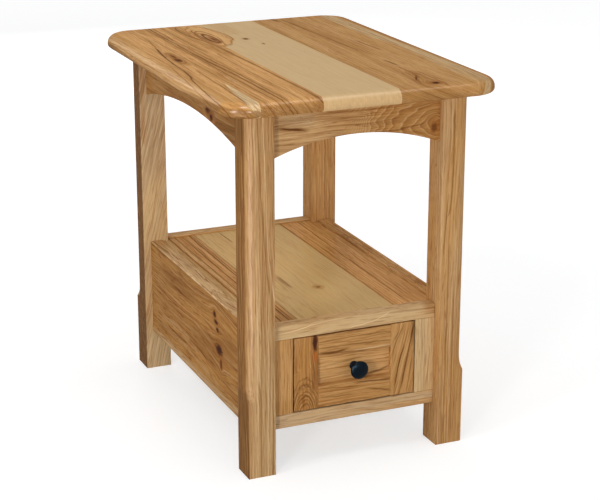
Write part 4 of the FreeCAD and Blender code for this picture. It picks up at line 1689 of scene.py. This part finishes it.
LEG_FIGURES = {
    "leg_front_left": Figure(
        Axis.Z, Axis.Y, 11, Tone.HONEY, Tone.HEART, 0.6, 5, 0.5, (-40, -330), 0.02,
        depth=0.8, flecks=0.3,
        bands=(
            strip(-215, -100, WHOLE, Tone.ASH, 0.42, 3),
            strip(-215, -100, (180, 600), Tone.HEART, 0.3, 40),
            # Painted shade: the leg's left face darker, and darker still below the stop
            strip(-215, -185.6, WHOLE, Tone.UMBER, 0.95, 1.2, ruled=True),
            strip(-215, -186, (-5, 140), Tone.DUSK, 0.5, 1, ruled=True),
            Band(
                (
                    (290, -143), (340, -150), (382, -154.5), (467, -156.5),
                    (600, -163),
                ),
                (
                    (290, -141.2), (340, -148.2), (382, -152.7), (467, -154.7),
                    (600, -160.5),
                ), Tone.PALE, 0.75, 0.6,
            ),
            # Painted highlight: a soft pale line down the rounded corner
            Band(((160, -172), (600, -176)), ((160, -167), (600, -170)), Tone.PALE, 0.4, 2.5),
            strip(-178, -138, (-5, 250), Tone.SAP, 0.35, 5),
        ),
        streaks=(
            Streak(((300, -150), (400, -160), (600, -170)), 1.6, 0.3),
            Streak(((60, -152), (220, -149)), 1.4, 0.3),
            Streak(((-5, -166), (240, -164), (430, -160)), 1.2, 0.28),
            Streak(((80, -158), (330, -157)), 1, 0.22),
            Streak(((-5, -147), (160, -145), (300, -146)), 1.3, 0.3),
            Streak(((20, -172), (280, -170)), 1.1, 0.3, Tone.PALE),
            Streak(((-5, -154), (200, -153), (300, -151)), 1.1, 0.3, Tone.PALE),
        ),
    ),
    "leg_front_right": Figure(
        Axis.Z, Axis.Y, 12, Tone.HONEY, Tone.ASH, 0.4, 5, 0.55, (60, -340), -0.02,
        depth=0.8, flecks=0.3,
        bands=(strip(100, 230, (-60, 200), Tone.HEART, 0.4, 40),),
        streaks=(
            Streak(((390, 150), (430, 158), (560, 160)), 1.6, 0.4),
            Streak(((330, 146), (420, 152)), 1.2, 0.35),
            Streak(((-5, 152), (150, 155), (340, 156)), 1.3, 0.3),
            Streak(((20, 168), (260, 166)), 1.1, 0.28),
            Streak(((-5, 162), (220, 161)), 1.1, 0.25, Tone.PALE),
        ),
    ),
    "leg_rear_left": Figure(
        Axis.Z, Axis.Y, 13, Tone.SAP, Tone.ASH, 0.8, 6, 0.4, (-330, 160), -0.25,
        depth=0.8,
        bands=(
            strip(-240, 0, (372, 700), Tone.ASH, 1, 60),
            strip(-185, -178, (420, 700), Tone.HEART, 0.45, 1.6),
            # Painted light: the foot's front face paler, where the case shades it
            strip(-186.5, -130, (-10, 60), Tone.PALE, 0.8, 6),
            # Painted shade: the leg's left face darker
            strip(-240, -186.5, WHOLE, Tone.DUSK, 0.95, 0.4, ruled=True),
        ),
    ),
    "leg_rear_right": Figure(
        Axis.Z, Axis.Y, 14, Tone.HONEY, Tone.HEART, 0.7, 5, 0.55, (240, 120), 0.02,
        depth=0.8,
    ),
}

APRON_FIGURES = {
    "apron_front": Figure(
        Axis.X, Axis.Y, 21, Tone.HONEY, Tone.HEART, 0.8, 5.5, 0.6, (470, -320),
        bands=(
            strip(500, 600, (20, 150), Tone.HEART, 0.75, 30),
            Band(((-127, 555), (-70, 556)), ((-127, 578), (-70, 576)), Tone.ASH, 0.7, 5),
            strip(500, 600, (-150, 30), Tone.SAP, 0.45, 20),
            Band(((-47, 533), (-20, 537)), ((-47, 545), (-20, 543)), Tone.SAP, 0.5, 3),
            strip(480, 620, (-40, 60), Tone.HEART, 0.5, 25),
        ),
        streaks=(Streak(((-129, 556), (-105, 553), (-86, 550)), 4, 0.75),),
        knots=(Knot((131, 534), (7, 10), 1.6, 0.75, Tone.STREAK, Tone.RUSSET),),
        eyes=(
            Eye((-20, 602), (84, 40), 8, 0.7),
            Eye((136, 540), (140, 78), 8.5, 0.9),
        ),
    ),
    "apron_left": Figure(
        Axis.Y, Axis.X, 22, Tone.HEART, Tone.UMBER, 1, 5.5, 0.45, (480, -330),
        bands=(
            strip(480, 600, (120, 300), Tone.AMBER, 0.45, 30),
            strip(480, 620, WHOLE, Tone.BARK, 0.15, 4),
            strip(480, 600, (-300, -140), Tone.UMBER, 0.5, 20),
        ),
        knots=(
            Knot((-80, 551), (12, 8), 1.6, 0.9),
            Knot((-94, 541), (10, 8), 1.4, 0.9, Tone.BARK, Tone.RUSSET),
        ),
    ),
    "apron_rear": Figure(
        Axis.X, Axis.Y, 23, Tone.HONEY, Tone.HEART, 0.6, contrast=0.45, pith=(470, 360),
    ),
    "apron_right": Figure(
        Axis.Y, Axis.X, 24, Tone.HONEY, Tone.HEART, 0.6, contrast=0.45, pith=(480, 330),
    ),
}

PANEL_FACE = -174
CASE_FIGURES = {
    "side_panel_left": Figure(
        Axis.Y, Axis.X, 31, Tone.HEART, Tone.UMBER, 0.8, 6, 0.4, (100, -330),
        lean=-1, face=PANEL_FACE, inner=Tone.SAP, flecks=0.85,
        bands=(
            # Painted highlight: a pale line along the top outer arris
            strip(241, 260, WHOLE, Tone.PALE, 0.9, 0.5, ruled=True),
            Band(straight(60), ((-300, 86), (300, 82)), Tone.SAP, 0.75, 3),
            strip(60, 250, (180, 300), Tone.HONEY, 0.5, 26),
        ),
        streaks=(
            Streak(((48, 113), (95, 111.5), (141, 114)), 1.8, 0.8),
            Streak(((-198, 106), (-160, 107), (-122, 109)), 2, 0.4),
            Streak(((-172, 187), (-145, 186)), 2.2, 0.35),
            Streak(((148, 236), (225, 238)), 3, 0.45),
            Streak(((62, 228), (84, 229)), 3, 0.3),
            Streak(((-210, 150), (-140, 152)), 1.6, 0.3),
        ),
        knots=(
            Knot((-95, 213.5), (7, 6.5), 1.4, 0.95),
            Knot((-101, 201.5), (10, 4), 1.4, 0.95),
            Knot((-107, 190), (7, 4.5), 1.4, 0.85),
            Knot((-114, 158), (16, 10), 1.3, 1),
            Knot((-122, 136), (5, 9), 1.4, 0.9, Tone.STREAK),
        ),
    ),
    "side_panel_right": Figure(
        Axis.Y, Axis.X, 32, Tone.HONEY, Tone.HEART, 0.7, 6, 0.45, (60, 340),
        knots=(Knot((80, 170), (10, 6), 1.7, 0.9),),
    ),
    "rear_panel": Figure(
        Axis.X, Axis.Y, 33, Tone.HONEY, Tone.HEART, 0.5, 6, 0.45, (70, 400),
        # Painted highlight and painted light: the top front arris and the top face paler
        bands=(strip(241.8, 260, WHOLE, Tone.SAP, 0.6, 0.4, ruled=True),),
        knots=(Knot((-40, 190), (8, 5), 1.7, 0.85),),
    ),
    "front_rail_top": Figure(
        Axis.X, Axis.Y, 34, Tone.SAP, Tone.HONEY, 0.35, 5, 0.3, (180, -330),
        streaks=(
            Streak(((-132, 230), (-100, 232.5), (-75, 238)), 1.2, 0.7, Tone.PALE),
            Streak(((-10, 223.5), (25, 227.5), (50, 235), (60, 241)), 1.2, 0.7, Tone.PALE),
        ),
        bands=(strip(226, 250, (122, 150), Tone.HEART, 0.6, 4),),
    ),
    "front_rail_bottom": Figure(
        Axis.X, Axis.Y, 35, Tone.ASH, Tone.HONEY, 0.8, 4, 0.3, (-40, -350)
    ),
    "front_stile_left": Figure(
        Axis.Z, Axis.Y, 36, Tone.HONEY, Tone.HEART, 0.25, 5, 0.35, (-220, -330),
        bands=(strip(-145, -100, (90, 118), Tone.HEART, 0.5, 8),),
    ),
    "front_stile_right": Figure(
        Axis.Z, Axis.Y, 37, Tone.SAP, Tone.HONEY, 0.35, 4.5, 0.35, (260, -330)
    ),
}

SHELF_FIGURES = {
    "shelf_board_1": Figure(
        Axis.Y, Axis.Z, 41, Tone.HONEY, Tone.HEART, 0.6, 5, 0.5, (-220, 60),
        bands=(
            strip(-151, -140, WHOLE, Tone.OLIVE, 0.8, 1.5),
            strip(-132, -127, WHOLE, Tone.OLIVE, 0.6, 1.5),
        ),
        streaks=(
            Streak(straight(-137), 1.8, 0.6),
            Streak(straight(-125), 1.5, 0.5),
            Streak(((-240, -114), (240, -112)), 1.6, 0.6),
            Streak(((-240, -101), (240, -98)), 1.8, 0.65),
            Streak(((-240, -95), (240, -94)), 1.2, 0.5),
        ),
    ),
    "shelf_board_2": Figure(
        Axis.Y, Axis.Z, 42, Tone.OLIVE, Tone.HONEY, 0.3, 6, 0.2, (-300, 60), flecks=0.25,
        streaks=(
            Streak(((175, -40), (232, -41)), 1.2, 0.6),
            Streak(((-90, -37), (-35, -38)), 5, 0.35),
            Streak(straight(-88), 1, 0.5),
        ),
    ),
    "shelf_board_3": Figure(
        Axis.Y, Axis.Z, 43, Tone.OLIVE, Tone.HONEY, 0.2, 7, 0.12, (260, 60), flecks=0.1,
        knots=(Knot((-107, 4), (6.5, 6), 1.8, 0.6, Tone.STREAK, Tone.HEART),),
    ),
    "shelf_board_4": Figure(
        Axis.Y, Axis.Z, 44, Tone.AMBER, Tone.HEART, 0.5, 5, 0.45, (330, 60),
        bands=(strip(135, 180, WHOLE, Tone.HEART, 0.25, 8),),
        streaks=(
            Streak(((-240, 109), (0, 111), (240, 116)), 1.2, 0.55),
            Streak(straight(81), 1.4, 0.4),
            Streak(((0, 95), (240, 93)), 1.6, 0.3),
        ),
    ),
}

# Painted shade in the gaps round the drawer: the front's outer edges dark
GAP_SHADE_LEFT = strip(-120, -104.2, WHOLE, Tone.BARK, 0.75, 0.4)
GAP_SHADE_RIGHT = strip(104.2, 120, WHOLE, Tone.BARK, 0.9, 0.4)
GAP_SHADE_TOP = strip(217.3, 230, WHOLE, Tone.STREAK, 0.6, 0.4)
GAP_SHADE_FOOT = strip(80, 96.5, WHOLE, Tone.BARK, 0.9, 0.4)
ARCHES = (
    Loop((86, -86), (20, 9), 1.6, 0.6),
    Loop((86, -86), (27, 12.5), 1.4, 0.5),
    Loop((86, -86), (33, 15.5), 1.8, 0.7),
    Loop((86, -86), (40, 19), 1.4, 0.55),
    Loop((86, -86), (50, 22), 1.8, 0.55),
    Loop((86, -86), (62, 26), 1.4, 0.4),
    Loop((143, -83), (8, 5), 1.5, 0.45),
)
DRAWER_FIGURES = {
    "drawer_stile_left": Figure(
        Axis.Z, Axis.Y, 51, Tone.HEART, Tone.HONEY, 0.7, 4.5, 0.5, (-140, -330),
        bands=(
            Band(((128, -73.5), (192, -74)), ((128, -64), (192, -64)), Tone.RUSSET, 0.65, 1.6),
            Band(((176, -72.5), (192, -73)), ((176, -65), (192, -65)), Tone.RUST, 0.75, 1.2),
            GAP_SHADE_LEFT,
        ),
        streaks=(
            Streak(((138, -84), (152, -84.5)), 3, 0.4, Tone.RUSSET),
            Streak(((104, -88), (124, -90)), 4, 0.5, Tone.RUSSET),
            Streak(((140, -69), (166, -70)), 1.5, 0.5),
        ),
        knots=(Knot((208, -69), (17, 4.8), 1.2, 0.95),),
        eyes=(Eye((84, -86), (72, 30), 4.5, 0.6),),
        loops=ARCHES,
    ),
    "drawer_stile_right": Figure(
        Axis.Z, Axis.Y, 52, Tone.HONEY, Tone.HEART, 0.7, 4.5, 0.45, (150, -330), -0.25,
        bands=(GAP_SHADE_RIGHT,),
        streaks=(
            Streak(((187, 99.5), (205, 101.5), (218, 102)), 3.2, 0.85),
            Streak(((110, 84), (140, 88), (165, 94), (190, 99)), 1.6, 0.6),
            Streak(((188, 67), (206, 78)), 1.4, 0.5),
            Streak(((105, 70), (125, 73.5), (150, 78), (176, 86)), 1.7, 0.65),
            Streak(((160, 66), (180, 70), (195, 76), (215, 86)), 1.3, 0.45),
            Streak(((98, 80), (120, 84), (150, 92)), 1.4, 0.45),
            Streak(((96, 92), (130, 97), (160, 101)), 1.3, 0.4),
        ),
    ),
    "drawer_rail_top": Figure(
        Axis.X, Axis.Y, 53, Tone.HONEY, Tone.HEART, 0.8, 4, 0.5, (150, -330),
        bands=(
            strip(150, 230, WHOLE, Tone.HEART, 0.4, 2),
            GAP_SHADE_TOP,
            # Painted highlight: a pale line on the rail's lower arris, above the panel
            strip(183, 185.2, (0, 64), Tone.PALE, 0.7, 0.5),
        ),
        streaks=(
            Streak(((-60, 188), (-40, 186.5), (-15, 189.5)), 2.4, 0.7),
            Streak(((-60, 196), (0, 195), (62, 192)), 1.5, 0.4),
            Streak(((-62, 206), (10, 208), (62, 206)), 1.4, 0.35),
            Streak(((-62, 186), (-20, 184), (20, 182)), 1.4, 0.45),
        ),
    ),
    "drawer_rail_bottom": Figure(
        Axis.X, Axis.Y, 54, Tone.HONEY, Tone.HEART, 0.7, 4, 0.55, (150, -330),
        bands=(GAP_SHADE_FOOT,),
        streaks=(
            Streak(((0, 130), (30, 127.5), (62, 124)), 2, 0.6),
            Streak(((25, 115), (62, 106)), 2.4, 0.5),
            Streak(((-62, 128), (-20, 124), (10, 122)), 1.3, 0.4),
            Streak(((-60, 112), (0, 109)), 1.4, 0.4),
        ),
    ),
    "drawer_panel": Figure(
        Axis.X, Axis.Y, 55, Tone.HONEY, Tone.AMBER, 0.5, 4.5, 0.42, (110, -330),
        bands=(
            # Painted shade: dark lines along the bottom, top and left edges of the recessed panel
            strip(120, 134.5, WHOLE, Tone.STREAK, 0.45, 1.2, ruled=True),
            strip(179.5, 190, WHOLE, Tone.STREAK, 0.35, 1, ruled=True),
            strip(120, 190, (-80, -62.5), Tone.STREAK, 0.75, 0.5),
        ),
        streaks=(
            Streak(((15, 137), (40, 140), (62, 147)), 2.4, 0.5),
            Streak(((-62, 162), (-20, 165), (10, 168)), 1.2, 0.3),
        ),
    ),
}

FIGURES = {
    **TOP_FIGURES, **LEG_FIGURES, **APRON_FIGURES, **CASE_FIGURES, **SHELF_FIGURES,
    **DRAWER_FIGURES,
}


# Studio

@dataclass(frozen=True)
class Lamp:
    """A square soft lamp that points at the table's middle.

    Places and sizes are in metres, and its power is in watts. Gloss shows a
    shiny lamp, and a plain lamp lights matt surfaces.
    """

    AIM = (0, 0, 0.3)

    name: str
    place: Place
    size: float
    power: float
    colour: Colour
    shiny: bool = True
    plain: bool = True

    def build(self) -> None:
        """Hang the lamp."""
        light = bpy.data.lights.new(self.name, "AREA")
        light.shape = "SQUARE"
        light.size = self.size
        light.energy = self.power
        light.color = self.colour
        holder = add_to_scene(self.name, light)
        holder.location = self.place
        aim = Vector(self.AIM) - Vector(self.place)
        holder.rotation_euler = aim.to_track_quat("-Z", "Y").to_euler()
        holder.visible_glossy = self.shiny
        holder.visible_diffuse = self.plain
        holder.visible_camera = False


LAMP_WARM = (1.0, 0.98, 0.95)
LAMP_SOFT = (1.0, 0.99, 0.97)
LAMP_WHITE = (1.0, 0.99, 0.98)
LAMP_COOL = (0.98, 0.99, 1.0)
LAMPS = (
    Lamp("key", (-1.9, -2.1, 0.95), 0.42, 27.5, LAMP_WARM),
    Lamp("corner_fill", (-1.7, -0.7, 2.3), 0.6, 14.0, LAMP_SOFT, shiny=False),
    Lamp("front_fill", (0.5, -3.0, 0.95), 0.9, 10.0, LAMP_SOFT),
    Lamp("rear_fill", (0.2, 3.0, 1.4), 1.6, 29.0, LAMP_WHITE, shiny=False),
    Lamp("side_fill", (3.0, 0.3, 1.0), 1.6, 20.0, LAMP_WHITE, shiny=False),
    Lamp("top_fill", (0.1, -0.5, 2.6), 2.0, 12.0, LAMP_COOL, shiny=False),
    Lamp("bay_fill", (0.0, 0.0, 0.55), 0.3, 0.22, LAMP_WHITE, shiny=False),
    Lamp("corner_glint", (-0.8, -0.95, 2.4), 0.6, 42.0, LAMP_SOFT, plain=False),
    Lamp("stop_glint", (-2.12, -1.08, 0.79), 0.7, 70.0, LAMP_SOFT, plain=False),
    Lamp("low_glint", (-0.6, -0.62, 0.2), 0.4, 5.8, LAMP_SOFT, plain=False),
    Lamp("front_glint", (-0.85, -2.9, 1.05), 0.4, 60.0, LAMP_WHITE, plain=False),
    Lamp("top_glint", (0.75, -0.45, 2.5), 1.0, 24.0, LAMP_WHITE, plain=False),
    Lamp("edge_glint", (-1.4, 3.0, 1.6), 1.2, 32.0, LAMP_WHITE, plain=False),
)


@dataclass
class Studio:
    """Floor, lamps, surroundings and camera.

    Places are in metres, and the floor's glow rises between two distances
    from the table in millimetres.
    """

    WHITE = (1.0, 1.0, 1.0, 1.0)
    FLOOR_MATT = (0.78, 0.79, 0.8, 1.0)
    FLOOR_PALE = (0.98, 0.995, 1.01)

    camera_place: Place = (-1.074, -2.542, 1.177)
    azimuth: float = 23.24
    pitch: float = 18.16
    lens: float = 102.6
    sensor: float = 36.0
    far: float = 50.0
    ambient: float = 0.35
    floor_size: float = 12.0
    floor_shade: float = 0.5
    floor_glow: Point = (0.62, 0.79)
    glow_reach: Point = (1200.0, 4500.0)

    @staticmethod
    def seen(graph: Graph) -> Socket:
        """Tell rays that show a background from rays that only carry light.

        Args:
            graph: The nodes to work in.

        Returns:
            One for rays to the camera, in gloss or through glass, else zero.
        """
        path = graph.node("ShaderNodeLightPath")
        shown = graph.math("MAXIMUM", path.outputs["Is Camera Ray"], path.outputs["Is Glossy Ray"])
        return graph.math("MAXIMUM", shown, path.outputs["Is Transmission Ray"])

    def floor(self) -> None:
        """A plain pale floor that a camera sees as nearly white."""
        mesh = bmesh.new()
        bmesh.ops.create_grid(mesh, x_segments=1, y_segments=1, size=self.floor_size)
        data = bpy.data.meshes.new("floor")
        mesh.to_mesh(data)
        mesh.free()
        plane = add_to_scene("floor", data)
        graph = Graph.of_material("floor_pale")
        matt = graph.node("ShaderNodeBsdfDiffuse")
        matt.inputs["Color"].default_value = self.FLOOR_MATT
        pale = graph.node("ShaderNodeBsdfDiffuse")
        shaded = (value * self.floor_shade for value in self.FLOOR_PALE)
        pale.inputs["Color"].default_value = (*shaded, 1.0)
        east, north, _ = graph.millimetres()
        away = graph.length(east, north)
        glow = graph.node("ShaderNodeEmission")
        glow.inputs["Color"].default_value = self.WHITE
        strength = graph.ease(away, *self.glow_reach, *self.floor_glow)
        graph.feed(glow.inputs["Strength"], strength)
        both = graph.node("ShaderNodeAddShader")
        graph.feed(both.inputs[0], pale.outputs[0])
        graph.feed(both.inputs[1], glow.outputs[0])
        choice = graph.node("ShaderNodeMixShader")
        graph.feed(choice.inputs[0], self.seen(graph))
        graph.feed(choice.inputs[1], matt.outputs[0])
        graph.feed(choice.inputs[2], both.outputs[0])
        output = graph.node("ShaderNodeOutputMaterial")
        graph.feed(output.inputs["Surface"], choice.outputs[0])
        data.materials.append(graph.material)

    def surroundings(self) -> None:
        """A dim white room that the camera sees as white."""
        world = bpy.data.worlds.new("room")
        world.use_nodes = True
        bpy.context.scene.world = world
        graph = Graph(world.node_tree)
        strength = graph.node("ShaderNodeMapRange")
        graph.feed(strength.inputs["Value"], self.seen(graph))
        graph.feed(strength.inputs["To Min"], self.ambient)
        graph.feed(strength.inputs["To Max"], 1.0)
        glow = graph.node("ShaderNodeBackground")
        glow.inputs["Color"].default_value = self.WHITE
        graph.feed(glow.inputs["Strength"], strength.outputs["Result"])
        output = graph.node("ShaderNodeOutputWorld")
        graph.feed(output.inputs["Surface"], glow.outputs[0])

    def camera(self) -> None:
        """The camera at the photograph's place and angle."""
        data = bpy.data.cameras.new("portrait")
        data.lens = self.lens
        data.sensor_width = self.sensor
        data.clip_end = self.far
        holder = add_to_scene("portrait", data)
        holder.location = self.camera_place
        holder.rotation_euler = (
            math.radians(90 - self.pitch), 0.0, -math.radians(self.azimuth)
        )
        bpy.context.scene.camera = holder

    def build(self) -> None:
        """Set up floor, lamps, room and camera."""
        bpy.context.scene.view_settings.view_transform = "Standard"
        self.floor()
        self.surroundings()
        self.camera()
        for lamp in LAMPS:
            lamp.build()


def main() -> None:
    """Build the table, piece by piece, and its studio."""
    logging.basicConfig(level=logging.INFO, format="%(name)s: %(message)s")
    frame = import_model()
    bench = Bench()
    TableTop(bench).build()
    Legs(bench).build()
    Aprons(bench).build()
    Case(bench).build()
    Drawer(bench).build()
    Hidden(frame["nodes"]).build()
    Studio().build()


if __name__ == "__main__":
    main()
